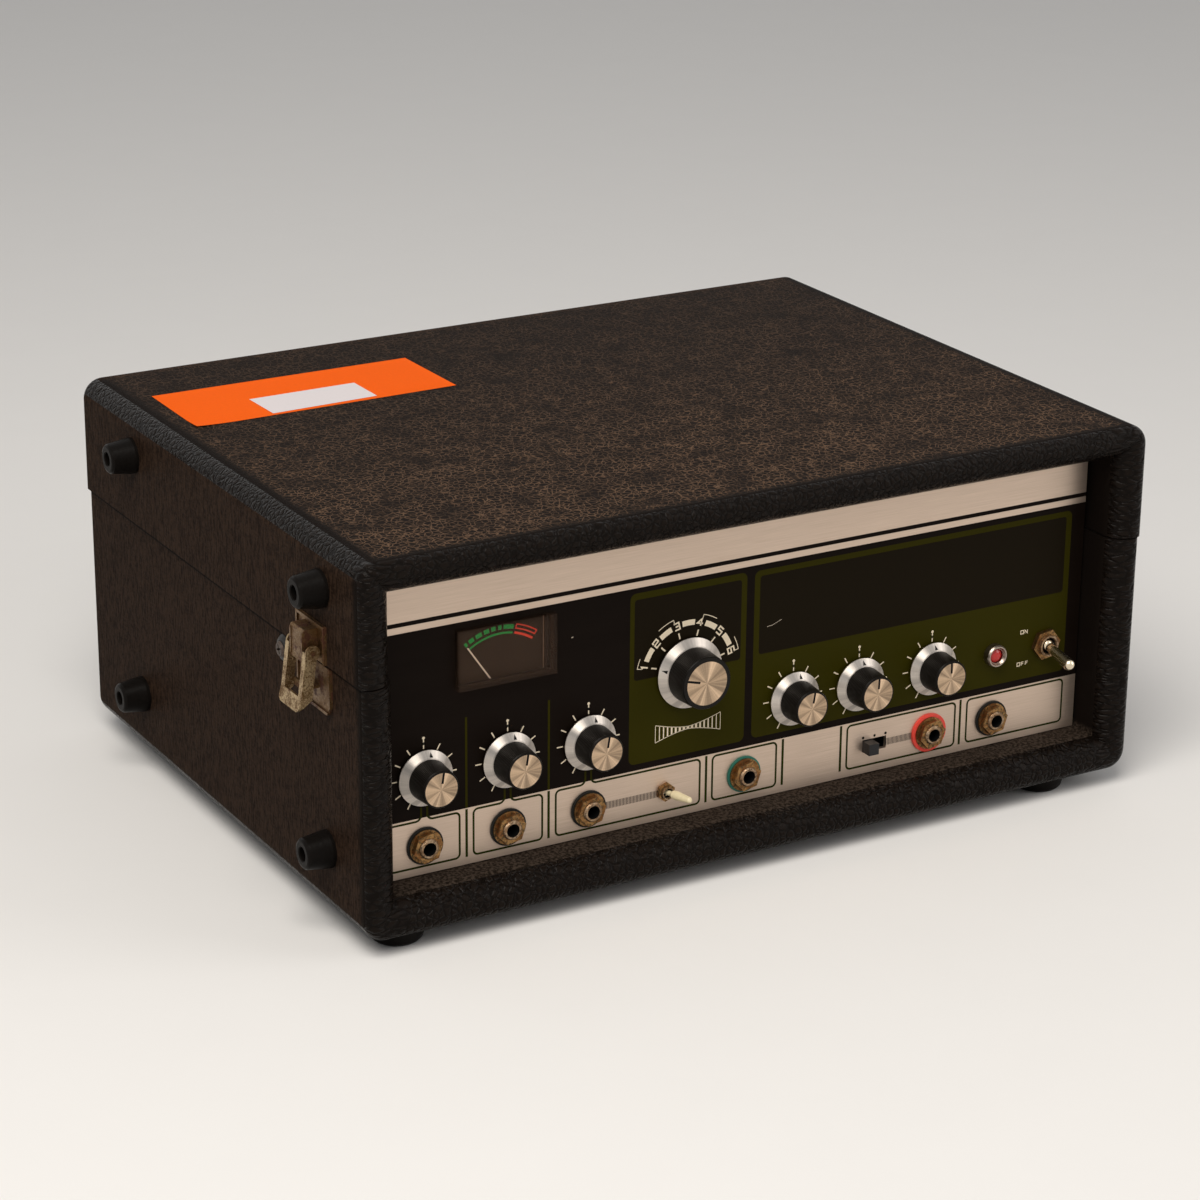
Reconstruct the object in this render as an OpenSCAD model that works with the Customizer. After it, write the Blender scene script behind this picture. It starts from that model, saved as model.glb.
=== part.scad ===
// Tape echo unit. A covered plywood case with a lift-up lid, a recessed control panel with seven knobs,
// a level meter, six jacks and three switches, and under the lid a tape deck with an endless loop.
// Millimetres. +X is to the right, -Y the front, +Z up. The origin is on the floor below the case's middle.

/* [Case] */
// Width of the case over its covering
case_w = 415; // [360:1:460]
// Depth of the case from the front rim to the back
case_d = 310; // [260:1:340]
// Height of the case without its feet
case_h = 176.5; // [160:0.5:200]
// Thickness of the covered boards of the sides and the lid
wall = 16.5; // [15:0.5:20]
// Thickness of the floor board
floor_t = 17.5; // [15:0.5:20]
// Thickness of the two back boards
back_t = 12; // [9:1:16]
// Radius of the long edges, where the sides meet the top and the floor
edge_r = 10; // [6:0.5:12]
// Radius of the outer edges round the front and the back
rim_r = 5; // [3:0.5:6]
// Height of the split between case and lid, above the underside
split_h = 120; // [110:1:130]
// Gap at the split
split_gap = 0.6; // [0.4:0.1:1.5]
// How far the lid stands out past the case at the sides and the back
lid_lip = 1.2; // [0:0.1:1.5]

/* [Feet and bumpers] */
// Height of the feet
foot_h = 8.5; // [6:0.5:14]
// Radius of a foot where it meets the case
foot_r = 13; // [8:0.5:14]
// Distance of the left feet from the middle
foot_left = 184; // [170:1:184]
// Distance of the right feet from the middle
foot_right = 168; // [160:1:184]
// Distance of the front feet from the middle
foot_front = 135; // [120:1:136]
// Distance of the back feet from the middle
foot_back = 122; // [100:1:140]
// Height of a side bumper off the case
bumper_h = 13; // [8:0.5:20]
// Radius of a side bumper where it meets the case
bumper_r = 8.8; // [6:0.1:12]
// Radius of a side bumper's outer end
bumper_tip_r = 6.6; // [5:0.1:10]

/* [Panel] */
// Depth of the panel's face behind the front rim
panel_recess = 22; // [16:1:30]
// Thickness of the panel
panel_t = 2; // [1.5:0.1:3]
// Width of the panel
panel_w = 379.4; // [340:0.1:380]
// Height of the knob row above the underside of the case
knob_row = 65; // [55:1:75]
// Height of the jack row above the underside of the case
jack_row = 31.8; // [28:0.1:36]
// Position of the mode knob across the panel
mode_x = -33.3; // [-40:0.1:-20]
// Height of the mode knob above the underside of the case
mode_row = 88.9; // [80:0.1:95]
// Position of the level meter across the panel
meter_x = -128.3; // [-135:0.1:-110]
// Height of the meter window's middle above the underside of the case
meter_row = 117; // [110:1:120]
// Width of the meter window
meter_w = 49; // [40:1:60]
// Height of the meter window
meter_h = 28; // [20:1:32]
// How far the meter window stands out of the panel
meter_proud = 4; // [2:0.5:6]
// Position of the power switch across the panel
power_x = 169.5; // [160:0.5:175]
// Position of the echo switch across the panel
echo_x = -44.5; // [-60:0.5:-30]
// Position of the output switch across the panel
output_x = 71.5; // [60:0.5:80]
// Position of the pilot lamp across the panel
lamp_x = 139; // [130:1:150]

/* [Knobs] */
// Radius of a small knob's skirt
skirt_r = 13.2; // [10:0.1:15]
// Radius of a small knob's cap
cap_r = 7.9; // [6:0.1:10]
// Radius of the mode knob's skirt
mode_skirt_r = 17; // [14:0.1:20]
// Radius of the mode knob's cap
mode_cap_r = 10.5; // [8:0.1:13]
// Distance of a knob's face from the panel
knob_h = 17; // [12:0.5:22]
// Radius of the control shafts
shaft_r = 3; // [2:0.1:3.5]

/* [Jacks and switches] */
// Radius of a jack's bore, for a quarter inch plug
jack_bore_r = 3.2; // [3.2:0.05:3.3]
// Radius of a jack's bushing
jack_bush_r = 4.7; // [4.2:0.1:5]
// Width of a jack's nut across the flats
jack_nut_w = 12.8; // [12:0.1:16]
// Length of the power switch's lever outside its pivot
power_lever_l = 18.5; // [12:0.5:24]
// Tilt of the power lever at each end of its throw
power_tilt = 13; // [8:1:20]
// Tilt of the echo lever at each end of its throw
echo_tilt = 18.5; // [10:0.5:25]
// Travel of the output switch from its first to its last position
output_travel = 8; // [6:0.5:10]

/* [Latches, hinges and handle] */
// Distance of the latches in front of the middle
latch_y = 107; // [90:1:120]
// Height of a latch's pin above the underside of the case
latch_pin_row = 126; // [124:0.5:130]
// Distance of a latch's pin from the case's side
latch_pin_out = 6; // [5:0.5:8]
// Tilt of the hanging latch loops
latch_tilt = 7.4; // [5:0.1:12]
// Distance of the hinges from the middle
hinge_x = 130; // [90:5:160]
// Distance of the hinge pins behind the lid's back
hinge_out = 2.7; // [2.5:0.1:6]
// Half the length of the handle strap
handle_half = 72; // [60:1:90]
// How far the handle strap bows away from the case
handle_bow = 9; // [8:1:25]

/* [Tape deck] */
// Height of the deck's top above the underside of the case
deck_row = 105; // [95:1:110]
// Width of the tape as modelled
tape_w = 6.35; // [6.3:0.05:12.7]
// Thickness of the tape as modelled
tape_t = 0.3; // [0.2:0.1:0.5]
// Radius of the capstan
capstan_r = 3; // [2:0.1:5]
// Radius of the flywheel
flywheel_r = 41; // [30:1:42]
// Radius of the motor pulley
pulley_r = 8; // [5:0.5:12]
// Radius of the pinch roller
roller_r = 9; // [7:0.5:10]
// Angle the pinch arm swings to press the tape
arm_swing = 10; // [8:1:12]

/* [Hidden] */
hull_fn = 32;
arc_fn = 64;
hw = case_w / 2;
front_y = -case_d / 2;
back_y = case_d / 2;
bottom_z = foot_h;
top_z = foot_h + case_h;
floor_z = bottom_z + floor_t;
ceiling_z = top_z - wall;
inner_x = hw - wall;
split_z = foot_h + split_h;
lower_z = split_z - split_gap / 2;
upper_z = split_z + split_gap / 2;
panel_y = front_y + panel_recess;
panel_back_y = panel_y + panel_t;
knob_z = foot_h + knob_row;
jack_z = foot_h + jack_row;
mode_z = foot_h + mode_row;
meter_z = foot_h + meter_row;
deck_z = foot_h + deck_row;
deck_t = 1.5;
chassis_t = 1.5;
fit_gap = 0.05;
turn_gap = 0.08;
// The six small knobs: position across the panel, and pointer angle clockwise from the top
knob_x = [-168.6, -126.7, -85.3, 24.3, 61, 102.6];
knob_rest = [9, 9, 9, 9, 2, -1];
mode_rest = -75;
// The six jacks and the radii of their fibre washers
jack_x = [-168.6, -126.7, -85.2, -2, 102.6, 139.3];
jack_washer_r = [8.9, 8.9, 8.9, 8.9, 9.7, 8.9];
// Plan positions on the deck
capstan_xy = [-145, -50];
motor_xy = [-60, 42];
arm_xy = [-172, -78];
arm_l = 31.1;
arm_pressed = 28.3;
arm_rest = arm_pressed - arm_swing;
tape_y = capstan_xy[1] - capstan_r - 0.2 - tape_t / 2;
tape_z = deck_z + 7;
head_x = [-46, -64, -84, -101, -118];
tank_x = [-15, 180];
tank_y = [-72, 122];
tank_h = 18;
// Stations of the endless tape, clockwise from the tank's front mouth
tape_route = [
    [-15, tape_y], [-60, tape_y], [-100, tape_y], [-150, tape_y], [-158, -49], [-163, -40],
    [-163, -30], [-152, -22], [-100, -6], [-50, 10], [-15, 22], [10, 40], [24, 80], [48, 104],
    [70, 84], [66, 40], [80, 14], [100, 34], [104, 84], [124, 108], [160, 104], [170, 70],
    [150, 46], [138, 10], [160, -20], [166, -50], [130, -62], [104, -38], [76, -30], [50, -52], [22, -56],
    [2, tape_y]
];

tolex = "#1b1815";
rubber = "#151515";
nickel = "#b9a671";
steel = "#b4b4b0";
brass = "#9a7748";
black = "#121212";
alloy = "#c9c4ba";

// ---- Shared shapes ----

// A box spanning the case's width plus grow on each side: edge_r on its long edges, rim_r round its two ends
module rounded_box(grow, y1, z0, z1) {
    x = [-hw - grow, hw + grow];
    y = [front_y, y1];
    for (r = [[0, rim_r], [rim_r, 0]]) {
        span([x[0] + edge_r, x[1] - edge_r], [y[0] + r[0], y[1] - r[0]], [z0 + r[1], z1 - r[1]]);
        span([x[0] + r[1], x[1] - r[1]], [y[0] + r[0], y[1] - r[0]], [z0 + edge_r, z1 - edge_r]);
    }
    for (px = x, py = y)
        translate([inward(px, rim_r), py + (py < 0 ? rim_r : -rim_r), z0 + edge_r])
            cylinder(r = rim_r, h = z1 - z0 - 2 * edge_r, $fn = arc_fn);
    for (pz = [z0 + rim_r, z1 - rim_r], py = y)
        translate([x[0] + edge_r, py + (py < 0 ? rim_r : -rim_r), pz]) rotate([0, 90, 0])
            cylinder(r = rim_r, h = x[1] - x[0] - 2 * edge_r, $fn = arc_fn);
    for (px = x, pz = [z0 + edge_r, z1 - edge_r])
        translate([inward(px, edge_r), y[0], pz]) rotate([-90, 0, 0]) rounded_post(y[1] - y[0]);
}

function inward(x, r) = x < 0 ? x + r : x - r;

// A round bar of radius edge_r with rim_r round both ends
module rounded_post(l) {
    translate([0, 0, rim_r]) cylinder(r = edge_r, h = l - 2 * rim_r, $fn = arc_fn);
    cylinder(r = edge_r - rim_r, h = l, $fn = arc_fn);
    for (z = [rim_r, l - rim_r])
        translate([0, 0, z]) rotate_extrude($fn = arc_fn)
            translate([edge_r - rim_r, 0]) circle(r = rim_r, $fn = arc_fn);
}

// The waste of a quarter round along Z: corner at the origin, material towards +X and +Y
module round_waste(r, l) {
    difference() {
        translate([-1, -1, 0]) cube([r + 1, r + 1, l]);
        translate([r, r, -1]) cylinder(r = r, h = l + 2, $fn = arc_fn);
    }
}

module on_panel(x, z) translate([x, panel_y, z]) rotate([90, 0, 0]) children();

module hexagon(w, t, bore) {
    difference() {
        cylinder(d = w / cos(30), h = t, $fn = 6);
        translate([0, 0, -1]) cylinder(r = bore, h = t + 2, $fn = arc_fn);
    }
}

module tube(r, bore, h) {
    difference() {
        cylinder(r = r, h = h, $fn = arc_fn);
        translate([0, 0, -1]) cylinder(r = bore, h = h + 2, $fn = arc_fn);
    }
}

module span(x, y, z) translate([x[0], y[0], z[0]]) cube([x[1] - x[0], y[1] - y[0], z[1] - z[0]]);

// Runs its children on the left side of the case, or mirrored on the right
module on_side(s) scale_x(s) translate([-hw, 0, 0]) rotate([0, -90, 0]) children();

module scale_x(s) {
    if (s < 0) children();
    else mirror([1, 0, 0]) children();
}

// ---- Case ----

screw_y = -76;
screw_z = foot_h + 113.5;
gland_x = -96;
gland_z = 52;
nose_r = wall - rim_r - 0.5;

// A wide board of thickness t, its outer face at z_out; up is 1 for the floor and -1 for the top of the lid
module wide_board(half_w, y1, z_out, t, up) {
    translate([0, 0, z_out]) scale_z(up) difference() {
        span([-half_w, half_w], [front_y, y1], [0, t]);
        for (y = [front_y, y1])
            translate([-half_w - 1, y, 0]) mirror([0, y > 0 ? 1 : 0, 0]) rotate([0, 90, 0])
                mirror([1, 0, 0]) round_waste(rim_r, 2 * half_w + 2);
        translate([-half_w - 1, front_y, t]) rotate([0, 90, 0]) round_waste(nose_r, 2 * half_w + 2);
    }
}

module scale_z(s) {
    if (s > 0) children();
    else mirror([0, 0, 1]) children();
}

// The waste in front of a side board's inner face, which turns the corner onto the wide board at z_in
module nose_waste(x_in, z_in, up) {
    translate([0, 0, z_in]) scale_z(up) intersection() {
        translate([-x_in, front_y, -nose_r - 2]) mirror([1, 0, 0]) round_waste(nose_r, case_h);
        union() {
            translate([-x_in - 20, front_y, 0]) rotate([0, 90, 0]) round_waste(nose_r, 40);
            span([-x_in - 20, -x_in + 20], [front_y - 5, front_y + 20], [0, case_h]);
        }
    }
}

module case_floor() {
    color(tolex) wide_board(inner_x, back_y, bottom_z, floor_t, 1);
}

module case_side(s) {
    color(tolex) scale_x(s) difference() {
        intersection() {
            rounded_box(0, back_y, bottom_z, split_z + 60);
            span([-hw - 1, -inner_x], [front_y - 1, back_y + 1], [0, lower_z]);
        }
        nose_waste(inner_x, floor_z, 1);
        translate([-hw - 1, screw_y, screw_z]) rotate([0, 90, 0]) cylinder(r = 2.3, h = wall + 2, $fn = arc_fn);
    }
}

module case_side_left() case_side(-1);
module case_side_right() case_side(1);

module case_back() {
    color(tolex) difference() {
        span([-inner_x, inner_x], [back_y - back_t, back_y], [floor_z, lower_z]);
        translate([gland_x, back_y + 1, gland_z]) rotate([90, 0, 0])
            cylinder(r = 7.2, h = back_t + 2, $fn = arc_fn);
    }
}

lid_inner_x = inner_x + lid_lip;
lid_back_y = back_y + lid_lip;

module lid_top() {
    color(tolex) wide_board(lid_inner_x, lid_back_y, top_z, wall, -1);
}

module lid_side(s) {
    color(tolex) scale_x(s) difference() {
        intersection() {
            rounded_box(lid_lip, lid_back_y, bottom_z, top_z);
            span([-hw - 2, -lid_inner_x], [front_y - 1, lid_back_y + 1], [upper_z, top_z + 1]);
        }
        nose_waste(lid_inner_x, ceiling_z, -1);
    }
}

module lid_side_left() lid_side(-1);
module lid_side_right() lid_side(1);

module lid_back() {
    color(tolex)
        span([-lid_inner_x, lid_inner_x], [lid_back_y - back_t, lid_back_y], [upper_z, ceiling_z]);
}

// ---- Feet, bumpers, screws and handle ----

module feet() {
    color(rubber)
        for (x = [-foot_left, foot_right], y = [-foot_front, foot_back])
            translate([x, y, 0]) rotate_extrude($fn = arc_fn)
                polygon([[0, 0], [foot_r - 3.4, 0], [foot_r - 2.2, 0.5], [foot_r - 1.2, 1.6],
                    [foot_r - 0.4, 4], [foot_r, foot_h - 2], [foot_r, foot_h], [0, foot_h]]);
}

module bumper() {
    color(rubber) rotate_extrude($fn = arc_fn)
        polygon([[0, 0], [bumper_r, 0], [bumper_r, 1.5], [bumper_tip_r + 0.7, bumper_h - 1.2],
            [bumper_tip_r, bumper_h - 0.3], [bumper_tip_r - 0.8, bumper_h], [3.7, bumper_h],
            [3.3, bumper_h - 0.5], [3.3, 5], [0, 5]]);
}

module bumpers_case()
    for (y = [-116, 92])
        on_side(-1) translate([foot_h + 32, y, 0]) bumper();

module bumpers_lid()
    for (y = [-116, 92])
        on_side(-1) translate([foot_h + 155, y, lid_lip]) bumper();

// A pan-head screw in a cup washer, its shank through the board into the chassis
module case_screws() {
    for (s = [-1, 1])
        on_side(s) translate([screw_z, screw_y, 0]) {
            color(black) rotate_extrude($fn = arc_fn)
                polygon([[2.4, 0], [6.5, 0], [6.3, 0.8], [5.2, 2], [3.9, 2.4], [2.4, 1.2]]);
            color(steel) difference() {
                union() {
                    translate([0, 0, -wall - 4]) cylinder(r = 2.2, h = wall + 6, $fn = arc_fn);
                    translate([0, 0, 1.6]) cylinder(r1 = 2.3, r2 = 3.7, h = 1, $fn = arc_fn);
                    translate([0, 0, 2.6]) cylinder(r1 = 3.7, r2 = 3, h = 0.9, $fn = arc_fn);
                }
                for (a = [0, 90])
                    rotate([0, 0, a + 20]) translate([-2.2, -0.4, 2.3]) cube([4.4, 0.8, 2]);
            }
        }
}

handle_r = (handle_half * handle_half + handle_bow * handle_bow) / (2 * handle_bow);
handle_angle = asin(handle_half / handle_r);
handle_z = 78;

// The strap's band, between two radii about the centre of its bow
module handle_band(r0, r1, half_z) {
    translate([hw + 3 + handle_bow - handle_r, 0, handle_z]) rotate([0, 0, -handle_angle])
        rotate_extrude(angle = 2 * handle_angle, $fn = 360)
            translate([r0, -half_z]) square([r1 - r0, 2 * half_z]);
}

module handle_strap() {
    color(black) handle_band(handle_r, handle_r + 4, 12);
}

module handle_caps() {
    color(nickel)
        for (s = [-1, 1])
            difference() {
                span([hw, hw + 12], [s * 73 - 17, s * 73 + 17], [handle_z - 16, handle_z + 16]);
                handle_band(handle_r - fit_gap, handle_r + 4 + fit_gap, 12 + fit_gap);
                translate([hw + 12, s * 90, handle_z - 17]) rotate([0, 0, s > 0 ? 180 : 90])
                    round_waste(4, 34);
                translate([hw + 12, s * 56, handle_z - 17]) rotate([0, 0, s > 0 ? 90 : 180])
                    round_waste(4, 34);
            }
}

// ---- Hinges ----

hinge_y = back_y + lid_lip + hinge_out;
knuckle_r = 2.4;
hinge_pin_r = 1.3;

module knuckle(x0, x1, bore)
    translate([x0, hinge_y, split_z]) rotate([0, 90, 0]) tube(knuckle_r, bore, x1 - x0);

module hinge_leaves_case() {
    for (x = [-hinge_x, hinge_x]) {
        color(steel) difference() {
            union() {
                span([x - 22, x + 22], [back_y, back_y + 1.5], [96, split_z - 3]);
                for (k = [[-20, -7.2], [7.2, 20]])
                    knuckle(x + k[0], x + k[1], hinge_pin_r + 0.02);
                for (k = [[-20, -7.2], [7.2, 20]])
                    span([x + k[0], x + k[1]], [back_y + 0.2, hinge_y - 0.9], [split_z - 5.5, split_z - 1.5]);
            }
            for (dx = [-14, 14])
                translate([x + dx, back_y + 2, 105]) rotate([90, 0, 0]) cylinder(r = 2, h = 4, $fn = 24);
        }
        color(steel) translate([x - 22, hinge_y, split_z]) rotate([0, 90, 0])
            cylinder(r = hinge_pin_r, h = 44, $fn = arc_fn);
    }
}

module hinge_leaves_lid() {
    color(steel) for (x = [-hinge_x, hinge_x])
        difference() {
            union() {
                span([x - 22, x + 22], [lid_back_y, lid_back_y + 1.5], [split_z + 4.5, 158]);
                knuckle(x - 7, x + 7, hinge_pin_r + turn_gap);
                span([x - 7, x + 7], [lid_back_y + 0.1, hinge_y - 0.9], [split_z + 1.5, split_z + 5.5]);
            }
            for (dx = [-14, 14])
                translate([x + dx, lid_back_y + 2, 149]) rotate([90, 0, 0]) cylinder(r = 2, h = 4, $fn = 24);
        }
}

// ---- Latches, on the left side: X up, Y to the back, Z out from the case ----

pin_z = foot_h + latch_pin_row;
pin_r = 1.1;
tongue_half = 6.3;
loop_half = 10.25;
loop_t = 1.2;

module plate_rim(x0, x1, half, z0) {
    for (s = [-1, 1])
        translate([x0, s > 0 ? half - 1.3 : -half, z0]) cube([x1 - x0, 1.3, 1.6]);
}

module latch_plate_lid() {
    x0 = split_z + 0.8;
    x1 = split_z + 18.5;
    difference() {
        union() {
            translate([x0, -14, lid_lip]) cube([x1 - x0, 28, 0.8]);
            plate_rim(x0, x1, 14, lid_lip);
            translate([x1 - 1.3, -14, lid_lip]) cube([1.3, 28, 1.6]);
            translate([split_z + 14.5, -tongue_half, lid_lip]) cube([1.3, 2 * tongue_half, 9 - lid_lip]);
            translate([split_z + 0.8, -tongue_half, 7.8]) cube([15, 2 * tongue_half, 1.2]);
            for (s = [-1, 1])
                translate([split_z + 2, s > 0 ? tongue_half - 1.2 : -tongue_half, lid_lip])
                    cube([13.8, 1.2, 8.2]);
        }
        translate([split_z + 15.8, -tongue_half - 1, 9]) rotate([-90, 0, 0]) rotate([0, 0, 180])
            mirror([0, 1, 0]) round_waste(1.4, 2 * tongue_half + 2);
    }
    translate([pin_z, -loop_half - 0.4, latch_pin_out]) rotate([-90, 0, 0])
        cylinder(r = pin_r, h = 2 * loop_half + 0.8, $fn = 24);
}

module latch_plates_lid() {
    color(nickel) for (s = [-1, 1])
        on_side(s) translate([0, -latch_y, 0]) latch_plate_lid();
}

// The lower plate, with the keeper that the loop's bar catches under
module latch_plate_case() {
    x0 = foot_h + 97.4;
    x1 = lower_z - 0.6;
    difference() {
        union() {
            translate([x0, -16.5, 0]) cube([x1 - x0, 33, 0.8]);
            plate_rim(x0, x1, 16.5, 0);
            translate([x0, -16.5, 0]) cube([1.3, 33, 1.6]);
        }
        for (s = [-1, 1])
            translate([x0 - 1, s * 16.5, -1]) rotate([0, 0, s * 33]) translate([-4, -3, 0]) cube([8, 6, 4]);
    }
    translate([foot_h + 107.1, -4.5, 0.4]) cube([1.4, 9, 8.1]);
    translate([foot_h + 107.1, -4.5, 7.3]) cube([3.6, 9, 1.2]);
}

module latch_plates_case() {
    color(nickel) for (s = [-1, 1])
        on_side(s) translate([0, -latch_y, 0]) latch_plate_case();
}

loop_face = 3.4;
loop_window = 20.6;
loop_end = 27.4;

// One channel side of a latch loop, in a frame at its pin with X up and Z out
module loop_side(k) {
    back = -2;
    difference() {
        translate([0, k > 0 ? loop_half : -loop_half + loop_t, 0]) rotate([90, 0, 0])
            linear_extrude(loop_t) union() {
                circle(r = loop_face, $fn = arc_fn);
                polygon([[0, loop_face], [-loop_window, loop_face], [-loop_end + 0.8, loop_face + 0.9],
                    [-loop_end + 0.8, loop_face], [-loop_window - 1, back], [-6, back],
                    [-2.6, -2.2], [0, -loop_face]]);
            }
        translate([0, k * loop_half - 3, 0]) rotate([-90, 0, 0])
            cylinder(r = pin_r + turn_gap, h = 6, $fn = 24);
    }
    translate([-loop_window, k > 0 ? 6.9 : -loop_half, loop_face - loop_t])
        cube([loop_window, loop_half - 6.9, loop_t]);
}

// The loop: two channel sides on the pin, joined by a flared bar with rounded corners
module latch_loop(s) {
    color(nickel) on_side(s)
        translate([pin_z, -latch_y, latch_pin_out]) rotate([0, latch_tilt, 0]) difference() {
            union() {
                loop_side(-1);
                loop_side(1);
                translate([-loop_window, -loop_half, 0]) rotate([-90, 0, 0]) linear_extrude(2 * loop_half)
                    polygon([[0, -loop_face], [0, -loop_face + loop_t],
                        [-loop_end + loop_window, -loop_face + loop_t - 0.9],
                        [-loop_end + loop_window, -loop_face - 0.9]]);
            }
            for (k = [0, 1])
                mirror([0, k, 0]) translate([-loop_end, -loop_half, -8]) round_waste(3, 16);
        }
}

module latch_loop_left() latch_loop(-1);
module latch_loop_right() latch_loop(1);

// ---- Panel, chassis and back fittings ----

module front_panel() {
    color(black) difference() {
        span([-panel_w / 2, panel_w / 2], [panel_y, panel_back_y], [floor_z + 0.4, ceiling_z - 1]);
        for (x = knob_x)
            on_panel(x, knob_z) translate([0, 0, -4]) cylinder(r = 3.8, h = 6, $fn = arc_fn);
        on_panel(mode_x, mode_z) translate([0, 0, -4]) cylinder(r = 5, h = 6, $fn = arc_fn);
        for (x = jack_x)
            on_panel(x, jack_z) translate([0, 0, -4]) cylinder(r = jack_bush_r + 0.1, h = 6, $fn = arc_fn);
        on_panel(power_x, knob_z) translate([0, 0, -4]) cylinder(r = 5.4, h = 6, $fn = arc_fn);
        on_panel(echo_x, jack_z) translate([0, 0, -4]) cylinder(r = 3.2, h = 6, $fn = arc_fn);
        on_panel(lamp_x, knob_z) translate([0, 0, -4]) cylinder(r = 4, h = 6, $fn = arc_fn);
        on_panel(meter_x - 23.3, meter_z - 12.8) translate([0, 0, -4]) cube([46.6, 25.6, 6]);
        on_panel(output_x - 6.75, jack_z - 3.15) translate([0, 0, -4]) cube([13.5, 6.3, 6]);
    }
}

// A tray with a floor and two side flanges up to the deck
module chassis() {
    flange_z = split_z - 2;
    color(steel) difference() {
        span([-inner_x, inner_x], [panel_back_y + 0.2, back_y - back_t - 2], [floor_z, flange_z]);
        span([-inner_x + chassis_t, inner_x - chassis_t], [panel_y, back_y],
            [floor_z + chassis_t, flange_z + 1]);
        for (s = [-1, 1])
            translate([s * inner_x - 3, screw_y, screw_z]) rotate([0, 90, 0])
                cylinder(r = 2.3, h = 6, $fn = arc_fn);
    }
}

module rear_plate() {
    color(alloy) difference() {
        span([gland_x - 48, gland_x + 48], [back_y, back_y + 1.5], [gland_z - 24, gland_z + 24]);
        translate([gland_x, back_y + 3, gland_z]) rotate([90, 0, 0]) cylinder(r = 7.2, h = 6, $fn = arc_fn);
        for (dx = [-42, 42], dz = [-18, 18])
            translate([gland_x + dx, back_y + 3, gland_z + dz]) rotate([90, 0, 0])
                cylinder(r = 1.8, h = 6, $fn = 24);
    }
}

// The bush that the mains lead would pass; the lead itself is not part of the model
module mains_gland() {
    color(rubber) translate([gland_x, back_y + 6, gland_z]) rotate([90, 0, 0]) difference() {
        union() {
            cylinder(r1 = 6, r2 = 6.6, h = 2, $fn = arc_fn);
            translate([0, 0, 2]) cylinder(r = 10, h = 2.5, $fn = arc_fn);
            translate([0, 0, 4.5]) cylinder(r = 7.1, h = back_t + 2.5, $fn = arc_fn);
        }
        translate([0, 0, -1]) cylinder(r = 3.6, h = back_t + 12, $fn = arc_fn);
    }
}

// ---- Level meter ----

needle_z = foot_h + 95.8;
needle_rest = 34.5;

module meter_body() {
    color(black) difference() {
        span([meter_x - 25, meter_x + 25], [panel_back_y + 0.1, panel_back_y + 27],
            [foot_h + 88, foot_h + 134]);
        span([meter_x - 23, meter_x + 23], [panel_y, panel_back_y + 1.7], [foot_h + 91, foot_h + 132]);
        on_panel(meter_x, needle_z) translate([0, 0, -8]) cylinder(r = 0.8, h = 8, $fn = 24);
    }
}

module meter_window() {
    color([0.35, 0.27, 0.22, 0.4]) difference() {
        on_panel(meter_x - meter_w / 2, meter_z - meter_h / 2) cube([meter_w, meter_h, meter_proud]);
        on_panel(meter_x - meter_w / 2 + 1.2, meter_z - meter_h / 2 + 1.2) translate([0, 0, -1])
            cube([meter_w - 2.4, meter_h - 2.4, meter_proud - 0.2]);
    }
}

module meter_needle() {
    color("#e8e4da") on_panel(meter_x, needle_z) rotate([0, 0, needle_rest]) {
        translate([-0.3, 0, -3]) cube([0.6, 29.5, 0.4]);
        translate([0, 0, -3.2]) cylinder(r = 2.4, h = 0.8, $fn = 24);
        translate([0, 0, -6]) cylinder(r = 0.72, h = 3, $fn = 24);
    }
}

// ---- Knobs and what they turn ----

// A shaft, a spun skirt, a tapered body and a cap with its pointer groove. Z is out from the panel
module knob(x, z, rest, rim, base, tip, cap) {
    body_z = 4.8;
    on_panel(x, z) rotate([0, 0, -rest]) {
        color(steel) translate([0, 0, -11]) cylinder(r = shaft_r, h = 24, $fn = arc_fn);
        color(alloy) rotate_extrude($fn = 96)
            polygon([[base - 3, 1.2], [rim - 0.8, 1.2], [rim, 1.7], [rim, 2.2], [rim - 0.4, 2.5],
                [base + 0.5, body_z - 0.1], [base - 3, body_z - 0.1]]);
        color(black) difference() {
            rotate_extrude($fn = 96)
                polygon([[0, body_z], [base, body_z], [base, body_z + 0.5], [tip, knob_h - 0.6],
                    [tip - 0.3, knob_h - 0.1], [cap + 0.05, knob_h - 0.1], [cap + 0.05, knob_h - 0.7],
                    [0, knob_h - 0.7]]);
            translate([0, 0, -1]) cylinder(r = shaft_r + 0.03, h = 14.1, $fn = arc_fn);
        }
        color(alloy) difference() {
            translate([0, 0, knob_h - 0.65]) cylinder(r = cap, h = 0.65, $fn = 96);
            translate([-0.55, cap * 0.36, knob_h - 0.3]) cube([1.1, cap, 1]);
        }
    }
}

module small_knob(i) knob(knob_x[i], knob_z, knob_rest[i], skirt_r, 9.7, 8.8, cap_r);

module knob_mic_1() small_knob(0);
module knob_mic_2() small_knob(1);
module knob_instrument() small_knob(2);
module knob_repeat_rate() small_knob(3);
module knob_intensity() small_knob(4);
module knob_echo_volume() small_knob(5);
module knob_mode() knob(mode_x, mode_z, mode_rest, mode_skirt_r, 13.2, 12.6, mode_cap_r);

module pots() {
    for (x = knob_x)
        on_panel(x, knob_z) {
            color(steel) difference() {
                union() {
                    translate([0, 0, -14]) cylinder(r = 12, h = 11.8, $fn = arc_fn);
                    translate([0, 0, -3]) cylinder(r = 3.6, h = 4, $fn = arc_fn);
                }
                translate([0, 0, -12]) cylinder(r = shaft_r + turn_gap, h = 14, $fn = arc_fn);
            }
        }
}

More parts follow.
